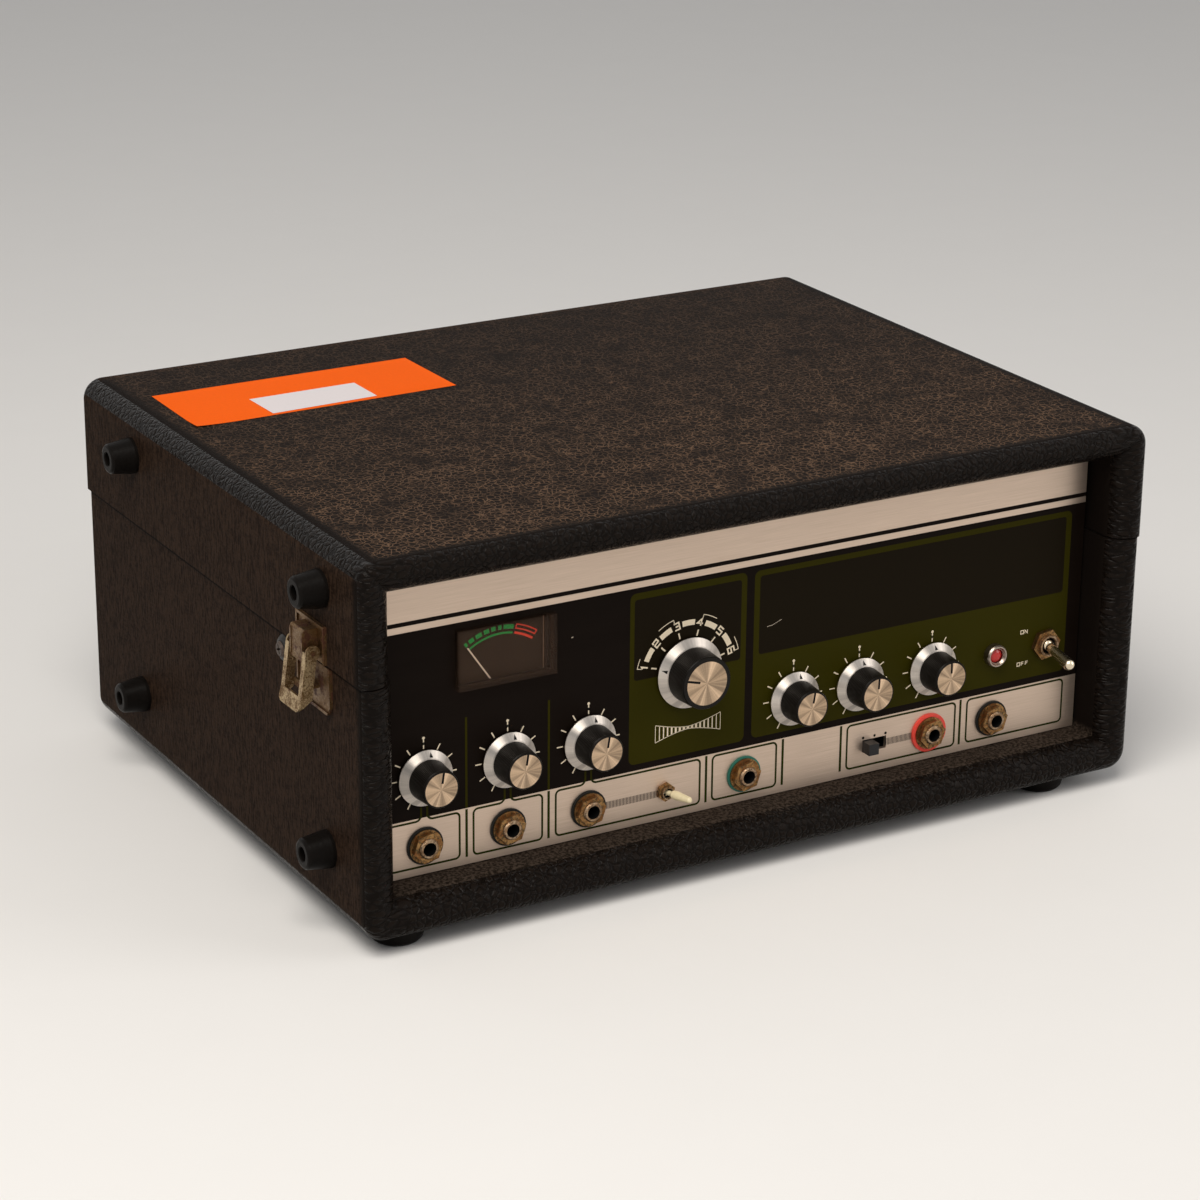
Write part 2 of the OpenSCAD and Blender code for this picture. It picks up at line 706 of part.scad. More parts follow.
module mode_switch() {
    on_panel(mode_x, mode_z) {
        color(steel) difference() {
            union() {
                translate([0, 0, -9]) cylinder(r = 15, h = 6.8, $fn = arc_fn);
                translate([0, 0, -3]) cylinder(r = 4.8, h = 4, $fn = arc_fn);
                for (a = [0, 180])
                    rotate([0, 0, a]) translate([12, -1.5, -34]) cube([3, 3, 28]);
            }
            translate([0, 0, -40]) cylinder(r = shaft_r + turn_gap, h = 50, $fn = arc_fn);
        }
        color("#7a5230") for (z = [-22, -32])
            translate([0, 0, z]) difference() {
                cylinder(r = 17, h = 1.6, $fn = arc_fn);
                translate([0, 0, -1]) cylinder(r = 4, h = 4, $fn = arc_fn);
                for (a = [0, 180])
                    rotate([0, 0, a]) translate([11.9, -1.6, -1]) cube([3.2, 3.2, 4]);
            }
    }
}

// ---- Jacks, switches and lamp ----

module jacks() {
    for (x = jack_x)
        on_panel(x, jack_z) {
            color(steel) difference() {
                union() {
                    translate([-9, -9, -26]) cube([18, 18, 23.8]);
                    translate([0, 0, -4]) cylinder(r = jack_bush_r, h = 8.8, $fn = arc_fn);
                    translate([0, 0, 4.8])
                        cylinder(r1 = jack_bush_r, r2 = jack_bush_r - 0.6, h = 0.6, $fn = arc_fn);
                }
                translate([0, 0, -24]) cylinder(r = jack_bore_r, h = 31, $fn = arc_fn);
            }
        }
}

module jack_washers() {
    tints = [black, black, black, "#14705c", "#d8413a", black];
    for (i = [0 : 5])
        color(tints[i]) on_panel(jack_x[i], jack_z)
            tube(jack_washer_r[i], jack_bush_r + fit_gap, 1);
}

// A round washer and a nut on each jack, and a nut on each lever switch
module panel_nuts() {
    color(brass) {
        for (x = jack_x)
            on_panel(x, jack_z) {
                translate([0, 0, 1.02]) tube(8, jack_bush_r + fit_gap, 0.7);
                translate([0, 0, 1.75]) rotate([0, 0, 12]) hexagon(jack_nut_w, 2.6, jack_bush_r + fit_gap);
            }
        on_panel(power_x, knob_z) rotate([0, 0, 8]) hexagon(13.6, 2.6, 5.35);
        on_panel(echo_x, jack_z) rotate([0, 0, 20]) hexagon(8, 1.8, 3.15);
    }
}

// A lever switch: a cell behind the panel and a bushing with a flared mouth
module lever_switch(x, z, w, h, depth, bush_r, mouth_r, bush_l) {
    on_panel(x, z) difference() {
        union() {
            translate([-w / 2, -h / 2, -depth - 2.2]) cube([w, h, depth]);
            translate([0, 0, -3]) cylinder(r = bush_r, h = bush_l + 3, $fn = arc_fn);
        }
        translate([0, 0, -6]) cylinder(r = mouth_r - 0.4, h = bush_l + 6, $fn = arc_fn);
        translate([0, 0, bush_l - 1]) cylinder(r1 = mouth_r - 0.4, r2 = mouth_r + 0.2, h = 1.01, $fn = arc_fn);
    }
}

power_pivot = 2;
echo_pivot = 1;

module power_switch()
    color(steel) lever_switch(power_x, knob_z, 16, 26, 26, 5.3, 4.2, 4.6);

module power_lever() {
    color(steel) on_panel(power_x, knob_z) translate([0, 0, power_pivot]) rotate([power_tilt, 0, 0]) {
        translate([0, 0, -0.4]) sphere(r = 3.4, $fn = arc_fn);
        translate([-3.7, 0, 0]) rotate([0, 90, 0]) cylinder(r = 0.9, h = 7.4, $fn = 24);
        cylinder(r1 = 2.1, r2 = 2.9, h = power_lever_l, $fn = arc_fn);
        translate([0, 0, power_lever_l]) sphere(r = 2.9, $fn = arc_fn);
    }
}

module echo_switch()
    color(steel) lever_switch(echo_x, jack_z, 8, 13, 12, 3.05, 2.35, 3.4);

module echo_lever() {
    color("#e6dcb8") on_panel(echo_x, jack_z) translate([0, 0, echo_pivot]) rotate([0, echo_tilt, 0]) {
        rotate_extrude($fn = arc_fn)
            polygon([[0, -1], [1.2, -0.6], [1.2, 3.2], [2, 4.6], [2.2, 6.5], [1.5, 14.2], [1, 15], [0, 15.2]]);
        translate([0, 1.75, 0]) rotate([90, 0, 0]) cylinder(r = 0.5, h = 3.5, $fn = 24);
    }
}

module output_switch() {
    color(steel) on_panel(output_x, jack_z) difference() {
        translate([-17, -6, -12.2]) cube([34, 12, 10]);
        translate([-8.5, -3.2, -9]) cube([17, 6.4, 12]);
    }
}

module output_slider() {
    color(black) on_panel(output_x - output_travel / 2, jack_z) {
        translate([-2.7, -2.8, -6]) cube([5.4, 5.6, 12]);
        translate([-3.4, -3, -8.5]) cube([6.8, 6, 3]);
    }
}

module pilot_lamp() {
    on_panel(lamp_x, knob_z) {
        color(steel) difference() {
            union() {
                rotate_extrude($fn = arc_fn)
                    polygon([[3, 0], [5.6, 0], [5.6, 3.4], [5.1, 4.2], [4.5, 4.2], [3.8, 3], [3, 3]]);
                translate([0, 0, -18]) cylinder(r = 3.9, h = 18.5, $fn = arc_fn);
            }
            translate([0, 0, -16]) cylinder(r = 3.65, h = 25, $fn = arc_fn);
        }
        color("#b01010") rotate_extrude($fn = arc_fn)
            polygon([[0, -4], [3.6, -4], [3.6, 1.8], [3, 2.6], [1.8, 3.2], [0, 3.5]]);
    }
}

// ---- Tape deck ----

module deck_hole(xy, r) translate([xy[0], xy[1], deck_z - 20]) cylinder(r = r, h = 40, $fn = arc_fn);

// The deck, with the capstan's bearing and the post of the pinch arm
module deck_plate() {
    edge_x = inner_x - chassis_t - 0.1;
    color("#2a2b2c") difference() {
        union() {
            span([-edge_x, edge_x], [-92, back_y - back_t - 3], [deck_z - deck_t, deck_z]);
            translate([capstan_xy[0], capstan_xy[1], deck_z - 14]) cylinder(r = 9, h = 14, $fn = arc_fn);
            translate([capstan_xy[0], capstan_xy[1], deck_z - 1]) cylinder(r = 5.5, h = 4, $fn = arc_fn);
            translate([arm_xy[0], arm_xy[1], deck_z - 1]) cylinder(r = 2.5, h = 6, $fn = arc_fn);
            for (s = [-1, 1])
                span([s * edge_x - (s > 0 ? chassis_t : 0), s * edge_x + (s > 0 ? 0 : chassis_t)],
                    [-92, back_y - back_t - 3], [deck_z - 12, deck_z]);
        }
        deck_hole(capstan_xy, capstan_r + turn_gap);
    }
}

// The block under the heads, with a tape guide at each end
module head_base() {
    color(alloy) {
        span([-126, -36], [tape_y + 2, tape_y + 24], [deck_z, deck_z + 4]);
        for (x = [-28, -132])
            translate([x, tape_y + 3.5, deck_z]) rotate_extrude($fn = arc_fn)
                polygon([[0, 0], [4.6, 0], [4.6, 6.4], [3.2, 6.6], [3.2, 13.8], [4.6, 14], [4.6, 16], [0, 16]]);
        translate([-156, -36, deck_z]) rotate_extrude($fn = arc_fn)
            polygon([[0, 0], [7, 0], [7, 6], [6, 6.4], [6, 14], [7, 14.4], [7, 16], [0, 16]]);
    }
}

module heads() {
    head_w = 12;
    color(steel) for (x = head_x)
        translate([x, tape_y + 0.3, deck_z + 4]) intersection() {
            translate([-head_w / 2, 0, 0]) cube([head_w, 15, 12.5]);
            translate([0, 16, -1]) cylinder(r = 16, h = 15, $fn = 96);
        }
}

module capstan() {
    color(steel) translate([capstan_xy[0], capstan_xy[1], 0]) {
        translate([0, 0, deck_z - 28]) cylinder(r = capstan_r, h = 48, $fn = arc_fn);
        translate([0, 0, deck_z - 27]) cylinder(r = flywheel_r, h = 11, $fn = 128);
    }
}

module motor() {
    base_z = floor_z + chassis_t;
    color(steel) translate([motor_xy[0], motor_xy[1], base_z]) difference() {
        union() {
            cylinder(r = 28, h = 44, $fn = arc_fn);
            translate([-34, -34, 0]) cube([68, 68, 3]);
            cylinder(r = 8, h = 48, $fn = arc_fn);
        }
        translate([0, 0, 30]) cylinder(r = 2 + turn_gap, h = 30, $fn = arc_fn);
    }
}

module motor_pulley() {
    color(brass) translate([motor_xy[0], motor_xy[1], 0]) {
        translate([0, 0, floor_z + 34]) cylinder(r = 2, h = deck_z - 14 - floor_z - 34, $fn = arc_fn);
        translate([0, 0, deck_z - 27]) cylinder(r = pulley_r, h = 11, $fn = arc_fn);
    }
}

module belt_outline(grow) {
    hull() {
        translate(capstan_xy) circle(r = flywheel_r + grow, $fn = 96);
        translate(motor_xy) circle(r = pulley_r + grow, $fn = 48);
    }
}

module drive_belt() {
    color(rubber) translate([0, 0, deck_z - 24]) linear_extrude(5) difference() {
        belt_outline(1.1);
        belt_outline(0.3);
    }
}

module at_arm() translate([arm_xy[0], arm_xy[1], deck_z]) rotate([0, 0, arm_rest]) children();

module pinch_arm() {
    color(steel) at_arm() {
        difference() {
            union() {
                translate([0, 0, 1]) cylinder(r = 6, h = 2.5, $fn = arc_fn);
                translate([0, -4, 1]) cube([arm_l, 8, 2.5]);
                translate([arm_l, 0, 1]) cylinder(r = 5, h = 2.5, $fn = arc_fn);
                translate([arm_l, 0, 2]) cylinder(r = 2, h = 16, $fn = arc_fn);
            }
            translate([0, 0, -1]) cylinder(r = 2.5 + turn_gap, h = 6, $fn = arc_fn);
        }
    }
}

module pinch_roller() {
    color(rubber) at_arm() translate([arm_l, 0, 4]) tube(roller_r, 2 + turn_gap, 12);
}

module tape_tank() {
    t = 2;
    color("#3a3b3c") difference() {
        span(tank_x, tank_y, [deck_z, deck_z + tank_h]);
        span([tank_x[0] + t, tank_x[1] - t], [tank_y[0] + t, tank_y[1] - t], [deck_z + 1.2, deck_z + 30]);
        span([tank_x[0] - 1, tank_x[0] + t + 1], [tape_y - 5, tape_y + 5], [deck_z + 4, deck_z + 30]);
        span([tank_x[0] - 1, tank_x[0] + t + 1], [12, 32], [deck_z + 4, deck_z + 30]);
    }
}

module tank_cover() {
    color([0.8, 0.85, 0.85, 0.3]) difference() {
        span(tank_x, tank_y, [deck_z + tank_h, deck_z + tank_h + 2]);
        for (x = [tank_x[0] + 10, tank_x[1] - 10], y = [tank_y[0] + 10, tank_y[1] - 10])
            translate([x, y, deck_z]) cylinder(r = 2, h = 40, $fn = 24);
    }
}

// A point on the smooth closed curve through the tape's stations, at station i and part u of the way on
function tape_point(i, u) =
    let (n = len(tape_route),
        a = tape_route[(i + n - 1) % n],
        b = tape_route[i % n],
        c = tape_route[(i + 1) % n],
        d = tape_route[(i + 2) % n])
    0.5 * (2 * b + (c - a) * u + (2 * a - 5 * b + 4 * c - d) * u * u + (3 * b - a - 3 * c + d) * u * u * u);

// The same point moved sideways by off
function tape_side(i, u, off) =
    let (t = tape_point(i, u + 0.01) - tape_point(i, u - 0.01))
    tape_point(i, u) + off / norm(t) * [-t[1], t[0]];

module tape_loop() {
    steps = 5;
    stations = [for (i = [0 : len(tape_route) - 1], k = [0 : steps - 1]) [i, k / steps]];
    color("#4a2f1e") translate([0, 0, tape_z]) linear_extrude(tape_w) difference() {
        polygon([for (s = stations) tape_side(s[0], s[1], tape_t / 2)]);
        polygon([for (s = stations) tape_side(s[0], s[1], -tape_t / 2)]);
    }
}

// ---- Under the deck ----

module transformer() {
    x = 118;
    y = 82;
    z = floor_z + chassis_t;
    color("#3b3a38") span([x - 32, x + 32], [y - 27, y + 27], [z, z + 14]);
    color("#3b3a38") span([x - 32, x + 32], [y - 27, y + 27], [z + 42, z + 56]);
    color("#3b3a38") for (s = [-1, 1])
        span([x + s * 24 - 8, x + s * 24 + 8], [y - 27, y + 27], [z + 14, z + 42]);
    color("#b98a3a") span([x - 15.5, x + 15.5], [y - 36, y + 36], [z + 14.5, z + 41.5]);
}

module circuit_board() {
    x = [-10, 168];
    y = [-84, 34];
    z = floor_z + chassis_t + 12;
    color("#7a6a3a") {
        span(x, y, [z, z + 1.6]);
        for (px = [x[0] + 8, x[1] - 8], py = [y[0] + 8, y[1] - 8])
            translate([px, py, floor_z + chassis_t]) cylinder(r = 3, h = 12 - fit_gap, $fn = 24);
    }
    color("#2b4a7a") for (i = [0 : 5])
        translate([x[0] + 24 + 26 * i, y[0] + 24 + 12 * (i % 3), z + 1.7]) cylinder(r = 6, h = 22, $fn = 32);
    color(black) for (i = [0 : 7])
        span([x[0] + 20 + 18 * i, x[0] + 27 + 18 * i], [y[1] - 40 + 9 * (i % 2), y[1] - 31 + 9 * (i % 2)],
            [z + 1.7, z + 6.5]);
}

case_floor();
case_side_left();
case_side_right();
case_back();
lid_top();
lid_side_left();
lid_side_right();
lid_back();
feet();
bumpers_case();
bumpers_lid();
case_screws();
handle_strap();
handle_caps();
hinge_leaves_case();
hinge_leaves_lid();
latch_plates_case();
latch_plates_lid();
latch_loop_left();
latch_loop_right();
front_panel();
chassis();
rear_plate();
mains_gland();
meter_body();
meter_window();
meter_needle();
knob_mic_1();
knob_mic_2();
knob_instrument();
knob_repeat_rate();
knob_intensity();
knob_echo_volume();
knob_mode();
pots();
mode_switch();
jacks();
jack_washers();
panel_nuts();
power_switch();
power_lever();
echo_switch();
echo_lever();
output_switch();
output_slider();
pilot_lamp();
deck_plate();
head_base();
heads();
capstan();
motor();
motor_pulley();
drive_belt();
pinch_arm();
pinch_roller();
tape_tank();
tank_cover();
tape_loop();
transformer();
circuit_board();
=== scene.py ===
import math

import bpy
import numpy as np
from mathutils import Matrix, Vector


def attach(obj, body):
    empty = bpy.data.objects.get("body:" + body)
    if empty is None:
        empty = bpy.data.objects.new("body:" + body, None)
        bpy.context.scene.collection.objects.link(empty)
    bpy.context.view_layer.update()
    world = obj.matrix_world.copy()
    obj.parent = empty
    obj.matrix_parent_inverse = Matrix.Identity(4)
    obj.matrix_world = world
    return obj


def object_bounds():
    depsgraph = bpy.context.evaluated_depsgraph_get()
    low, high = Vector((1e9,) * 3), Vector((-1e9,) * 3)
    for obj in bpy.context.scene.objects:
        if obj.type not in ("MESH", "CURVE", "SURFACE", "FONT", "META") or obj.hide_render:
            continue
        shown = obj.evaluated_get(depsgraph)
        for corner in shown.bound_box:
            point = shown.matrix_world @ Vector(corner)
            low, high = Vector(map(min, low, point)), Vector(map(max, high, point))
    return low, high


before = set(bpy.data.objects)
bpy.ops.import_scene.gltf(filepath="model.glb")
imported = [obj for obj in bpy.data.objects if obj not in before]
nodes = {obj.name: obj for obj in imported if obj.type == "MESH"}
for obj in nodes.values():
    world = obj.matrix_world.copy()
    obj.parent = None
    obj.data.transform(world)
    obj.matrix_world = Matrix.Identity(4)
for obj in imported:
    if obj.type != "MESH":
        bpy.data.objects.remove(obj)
cad_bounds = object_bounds()

# ---- Boards of the case and the lid ----
# Plywood boards covered in one skin of black grained vinyl cloth, glued on and turned over the rims.
# The top is crazed and dusty, the sides have a fine upright grain, and the rounded rims are pebbled and
# glossier.


def wire(tree, made, inputs):
    """Sets a node's inputs, by name or number: a socket is linked to, and anything else is its value."""
    for key, value in dict(inputs).items():
        if isinstance(value, bpy.types.NodeSocket):
            tree.links.new(value, made.inputs[key])
        else:
            made.inputs[key].default_value = value
    return made


def add(tree, kind, inputs=(), **settings):
    """A new shader node of this kind, with its settings and inputs."""
    made = tree.nodes.new("ShaderNode" + kind)
    for key, value in settings.items():
        setattr(made, key, value)
    return wire(tree, made, inputs)


def maths(tree, operation, *values):
    """The result of one arithmetic step on the values, in order."""
    return add(tree, "Math", dict(enumerate(values)), operation=operation).outputs[0]


def product(tree, *values):
    """All the values multiplied together, the first of them a socket."""
    result = values[0]
    for value in values[1:]:
        result = maths(tree, "MULTIPLY", result, value)
    return result


def mix(tree, share, first, second):
    """The first colour where share is 0 and the second where it is 1."""
    return add(tree, "Mix", {0: share, 6: first, 7: second}, data_type="RGBA").outputs[2]


def smooth(tree, value, low, high):
    """0 below low, 1 above high and a smooth step between; low may be the larger, for a falling step."""
    return add(tree, "MapRange", {"Value": value, "From Min": low, "From Max": high},
               interpolation_type="SMOOTHSTEP").outputs[0]


def noise(tree, place, scale, detail=2.0, roughness=0.5):
    """Soft noise from 0 to 1, with scale grains a metre."""
    inputs = {"Vector": place, "Scale": scale, "Detail": detail, "Roughness": roughness}
    return add(tree, "TexNoise", inputs).outputs[0]


def stretched(tree, place, factors):
    """The place times a factor along each axis, which packs a pattern along that axis."""
    return add(tree, "VectorMath", {0: place, 1: factors}, operation="MULTIPLY").outputs[0]


def raised(tree, height, distance):
    """A normal for a surface raised by height times distance, in metres."""
    return add(tree, "Bump", {"Height": height, "Distance": distance, "Strength": 1.0}).outputs[0]


def start(name):
    """A new material: itself, its tree, its surface node and the object's own coordinates."""
    material = bpy.data.materials.new(name)
    material.use_nodes = True
    tree = material.node_tree
    return material, tree, tree.nodes["Principled BSDF"], add(tree, "TexCoord").outputs["Object"]


def dress(names, material):
    """Gives CAD nodes one material."""
    for name in names:
        nodes[name].data.materials.clear()
        nodes[name].data.materials.append(material)


def face_vectors(name, kind="center"):
    """One vector for each face of a CAD node: its middle in metres, or its normal."""
    faces = nodes[name].data.polygons
    vectors = np.empty(len(faces) * 3)
    faces.foreach_get(kind, vectors)
    return vectors.reshape(-1, 3)


def share_out(name, materials, choice):
    """Gives a CAD node several materials, choice being the number of the material that each face takes."""
    data = nodes[name].data
    data.materials.clear()
    for material in materials:
        data.materials.append(material)
    data.polygons.foreach_set("material_index", np.asarray(choice, dtype=np.int32))


def creases(tree, place, shake, scale):
    """Distance from the nearest wavy crease, 0 to about half a cell, with cells of 1 / scale metres."""
    wander = add(tree, "TexNoise", {"Vector": place, "Scale": 170.0, "Detail": 3.0}).outputs["Color"]
    shaken = add(tree, "VectorMath", {0: wander, 1: (shake, shake, shake), 2: place},
                 operation="MULTIPLY_ADD").outputs[0]
    return add(tree, "TexVoronoi", {"Vector": shaken, "Scale": scale}, feature="DISTANCE_TO_EDGE").outputs[0]


# Faces and edges of the boards, in metres from the frame's origin
LID_TOP = 0.185
SEAM = 0.1281
SIDE_FACE = 0.2075
BACK_FACE = 0.155
PANEL_FACE = -0.133
SILL_TOP = 0.030
SILL_HALF = 0.199
FLAT_FRONT = -0.1505
FLAT_HALF = 0.1995
POST_INNER = 0.190
POST_FRONT = -0.146


def vinyl_flat():
    """The cloth where it lies flat: crazed in cells of 3 mm on top, with a fine upright grain elsewhere."""
    material, tree, surface, place = start("vinyl_flat")
    black = (0.0070, 0.0050, 0.0040, 1)
    brown = (0.0090, 0.0060, 0.0045, 1)
    crack_dust = (0.135, 0.081, 0.050, 1)
    seam_dirt_and_shade = (0.0016, 0.0012, 0.0010, 1)
    across, deep, high = add(tree, "SeparateXYZ", {0: place}).outputs
    apart = maths(tree, "ABSOLUTE", across)
    on_top = smooth(tree, high, LID_TOP - 0.0025, LID_TOP - 0.0002)
    on_side = smooth(tree, apart, SIDE_FACE - 0.0030, SIDE_FACE - 0.0003)
    outside = maths(tree, "MAXIMUM", on_side, smooth(tree, deep, BACK_FACE - 0.010, BACK_FACE - 0.001))
    behind_rim = smooth(tree, deep, FLAT_FRONT, FLAT_FRONT + 0.0055)
    top_flat = product(tree, on_top, behind_rim, smooth(tree, apart, FLAT_HALF, FLAT_HALF - 0.005))

    fine_crack = smooth(tree, creases(tree, place, 0.0020, 330.0), 0.085, 0.0)
    long_crack = smooth(tree, creases(tree, place, 0.006, 130.0), 0.032, 0.0)
    crack = maths(tree, "MAXIMUM", fine_crack, long_crack)
    patchy = smooth(tree, noise(tree, place, 60.0, 4.0, 0.6), 0.2, 0.62)
    forward = maths(tree, "MULTIPLY_ADD", smooth(tree, deep, 0.14, -0.13), 0.6, 0.4)
    dusty = product(tree, crack, top_flat, patchy, forward)

    grain = noise(tree, stretched(tree, place, (1.0, 1.0, 0.16)), 1100.0, 3.0, 0.7)
    weave = noise(tree, stretched(tree, place, (0.4, 0.4, 1.0)), 900.0, 2.0, 0.6)
    upright = smooth(tree, maths(tree, "MULTIPLY_ADD", weave, 0.35, grain), 0.54, 0.82)
    side = mix(tree, upright, (0.0105, 0.0060, 0.0040, 1), (0.0340, 0.0200, 0.0130, 1))
    ground = mix(tree, product(tree, outside, behind_rim), mix(tree, top_flat, black, brown), side)

    # A dark line along the seam between lid and case: partly dirt, partly painted shade under the lid's lip.
    from_seam = maths(tree, "ABSOLUTE", maths(tree, "SUBTRACT", high, SEAM))
    in_seam = product(tree, outside, smooth(tree, from_seam, 0.0012, 0.0006))
    ground = mix(tree, in_seam, ground, seam_dirt_and_shade)

    # The floor board's top before the panel: a lighter pebbled patch whose brightness and light speckles are
    # painted light and sheen on a face lit from above.
    below_sill_top = smooth(tree, high, SILL_TOP, SILL_TOP - 0.003)
    before_panel = smooth(tree, deep, PANEL_FACE + 0.005, PANEL_FACE)
    between_sides = smooth(tree, apart, SILL_HALF, SILL_HALF - 0.001)
    pebbled = smooth(tree, noise(tree, place, 650.0, 3.0, 0.65), 0.40, 0.62)
    sill_sheen_patch = mix(tree, pebbled, (0.010, 0.007, 0.005, 1), (0.046, 0.034, 0.026, 1))
    ground = mix(tree, product(tree, below_sill_top, before_panel, between_sides), ground, sill_sheen_patch)

    fine = noise(tree, place, 1500.0, 3.0, 0.6)
    relief = maths(tree, "MULTIPLY_ADD", product(tree, crack, on_top), 0.00008, product(tree, fine, 0.00012))
    relief = maths(tree, "MULTIPLY_ADD", product(tree, upright, outside), 0.00010, relief)
    wire(tree, surface, {
        "Base Color": mix(tree, dusty, ground, crack_dust),
        "Roughness": maths(tree, "MULTIPLY_ADD", fine, 0.1, 0.50),
        "Normal": raised(tree, relief, 1.0),
        "Specular IOR Level": 0.012,
    })
    return material


def vinyl_rim():
    """The cloth drawn over the rounded edges: glossier and pebbled, with level folds on the posts."""
    material, tree, surface, place = start("vinyl_rim")
    # The black is darker in the hollows than on the swells: painted shade in the creases.
    hollow_black = (0.0040, 0.0027, 0.0020, 1)
    swell_black = (0.0078, 0.0052, 0.0038, 1)
    sides = add(tree, "SeparateXYZ", {0: place}).outputs
    outward = smooth(tree, maths(tree, "ABSOLUTE", sides[0]), POST_INNER - 0.006, POST_INNER)
    on_post = product(tree, outward, smooth(tree, sides[1], POST_FRONT + 0.006, POST_FRONT))
    pebbles = creases(tree, place, 0.0030, 310.0)
    folds = creases(tree, stretched(tree, place, (0.35, 0.35, 1.0)), 0.0026, 380.0)
    swell = smooth(tree, add(tree, "Mix", {0: on_post, 2: pebbles, 3: folds}).outputs[0], 0.0, 0.25)
    fine = noise(tree, place, 1200.0, 3.0, 0.6)
    relief = maths(tree, "MULTIPLY_ADD", swell, 0.00038, product(tree, fine, 0.00018))
    wire(tree, surface, {
        "Base Color": mix(tree, swell, hollow_black, swell_black),
        "Roughness": maths(tree, "MULTIPLY_ADD", fine, 0.10, 0.13),
        "Normal": raised(tree, relief, 1.0),
        "Specular IOR Level": 0.050,
    })
    return material


vinyl = [vinyl_flat(), vinyl_rim()]
for name in ("case_floor", "case_side_left", "case_side_right", "case_back",
             "lid_top", "lid_side_left", "lid_side_right", "lid_back"):
    normals = face_vectors(name, "normal")
    rounded_off = abs(normals).max(axis=1) < 0.97
    faces_front = normals[:, 1] < -0.5
    share_out(name, vinyl, rounded_off | faces_front)

# ---- Feet, bumpers and the gland ----
# Moulded black rubber, nearly matt, with a little dust. The feet and bumpers are screwed to the boards, and
# the gland is clamped in the rear plate. The belt and the pinch roller's tyre are rubber too.


def finish(name, colour, roughness, metallic=0.0, mottle=0.2, grains=700.0, relief=0.00004, level=0.5):
    """A plain finish: noise of so many grains a metre raises it and shifts colour and roughness by mottle."""
    material, tree, surface, place = start(name)
    spots = noise(tree, place, grains, 3.0, 0.6)
    dark = tuple(c * (1.0 - mottle) for c in colour) + (1.0,)
    light = tuple(min(1.0, c * (1.0 + mottle)) for c in colour) + (1.0,)
    wire(tree, surface, {
        "Base Color": mix(tree, spots, dark, light),
        "Roughness": maths(tree, "MULTIPLY_ADD", spots, mottle * 0.5, roughness - mottle * 0.25),
        "Metallic": metallic,
        "Specular IOR Level": level,
        "Normal": raised(tree, spots, relief),
    })
    return material


rubber = finish("rubber", (0.0050, 0.0040, 0.0034), 0.34, mottle=0.4, relief=0.00008, level=0.045)
dress(["feet", "bumpers_case", "bumpers_lid", "mains_gland", "drive_belt", "pinch_roller"], rubber)

# ---- Hinges and case screws ----
# Zinc-plated steel leaves with a rolled knuckle, screwed to the boards, and a rusty pan-head screw in a
# black cup at each side.

SCREW_MIDDLE = (-0.076, 0.122)
SCREW_HEAD = 0.00375
zinc = finish("zinc_plate", (0.40, 0.37, 0.32), 0.42, metallic=1.0, mottle=0.35, grains=350.0,
              relief=0.00003)
black_enamel = finish("black_enamel", (0.008, 0.007, 0.006), 0.4, mottle=0.3, level=0.3)
rusty = finish("rusty_screw", (0.060, 0.042, 0.032), 0.45, metallic=0.6, mottle=0.7, grains=900.0,
               relief=0.0001)
dress(["hinge_leaves_case", "hinge_leaves_lid"], zinc)
screw_middles = face_vectors("case_screws")
screw_reach = np.hypot(screw_middles[:, 1] - SCREW_MIDDLE[0], screw_middles[:, 2] - SCREW_MIDDLE[1])
share_out("case_screws", [rusty, black_enamel], screw_reach > SCREW_HEAD)

# ---- Handle ----
# A strap of moulded black plastic over a steel core, held at each end under a cap of pressed brass whose
# nickel plate is worn and speckled.


def worn_nickel(name, clean, rust_from):
    """Nickel with brown brass showing through in spots, rusty where slow noise is over rust_from."""
    material, tree, surface, place = start(name)
    smears = noise(tree, place, 95.0, 5.0, 0.7)
    specks = noise(tree, place, 1300.0, 3.0, 0.75)
    wear = smooth(tree, maths(tree, "MULTIPLY_ADD", specks, 0.8, smears), 0.74, 1.02)
    stain = smooth(tree, noise(tree, place, 170.0, 5.0, 0.75), rust_from, rust_from + 0.13)
    colour = mix(tree, wear, clean + (1.0,), (0.15, 0.085, 0.035, 1))
    colour = mix(tree, stain, colour, (0.060, 0.020, 0.009, 1))
    wire(tree, surface, {
        "Base Color": colour,
        "Metallic": maths(tree, "SUBTRACT", 1.0, product(tree, stain, 0.6)),
        "Roughness": maths(tree, "MULTIPLY_ADD", stain, 0.25, maths(tree, "MULTIPLY_ADD", wear, 0.2, 0.27)),
        "Normal": raised(tree, maths(tree, "ADD", smears, specks), 0.00014),
        "Specular IOR Level": 0.3,
    })
    return material


strap_plastic = finish("strap_plastic", (0.016, 0.015, 0.014), 0.5, mottle=0.3, grains=1500.0, relief=0.0002)
plated_brass = worn_nickel("worn_nickel", (0.56, 0.42, 0.24), 0.57)
dress(["handle_strap"], strap_plastic)
dress(["handle_caps"], plated_brass)

# ---- Latches ----
# Pressed brass with the same worn plate, its lower and upper plates brown and rusty in patches and darker
# all over as painted shade; screwed to the boards from inside.

dress(["latch_loop_left", "latch_loop_right"], plated_brass)
# The plates' darker clean colour is partly rust and partly painted shade.
dress(["latch_plates_case", "latch_plates_lid"], worn_nickel("rusty_shaded_nickel", (0.20, 0.125, 0.06), 0.46))

# ---- Front panel ----
# Brushed aluminium, printed black over most of its height, with the bare metal left as bands at the top and
# the bottom. Fastened to the chassis from behind.

BLACK_BANDS = ((0.0538, 0.1427), (0.1457, 0.1477))


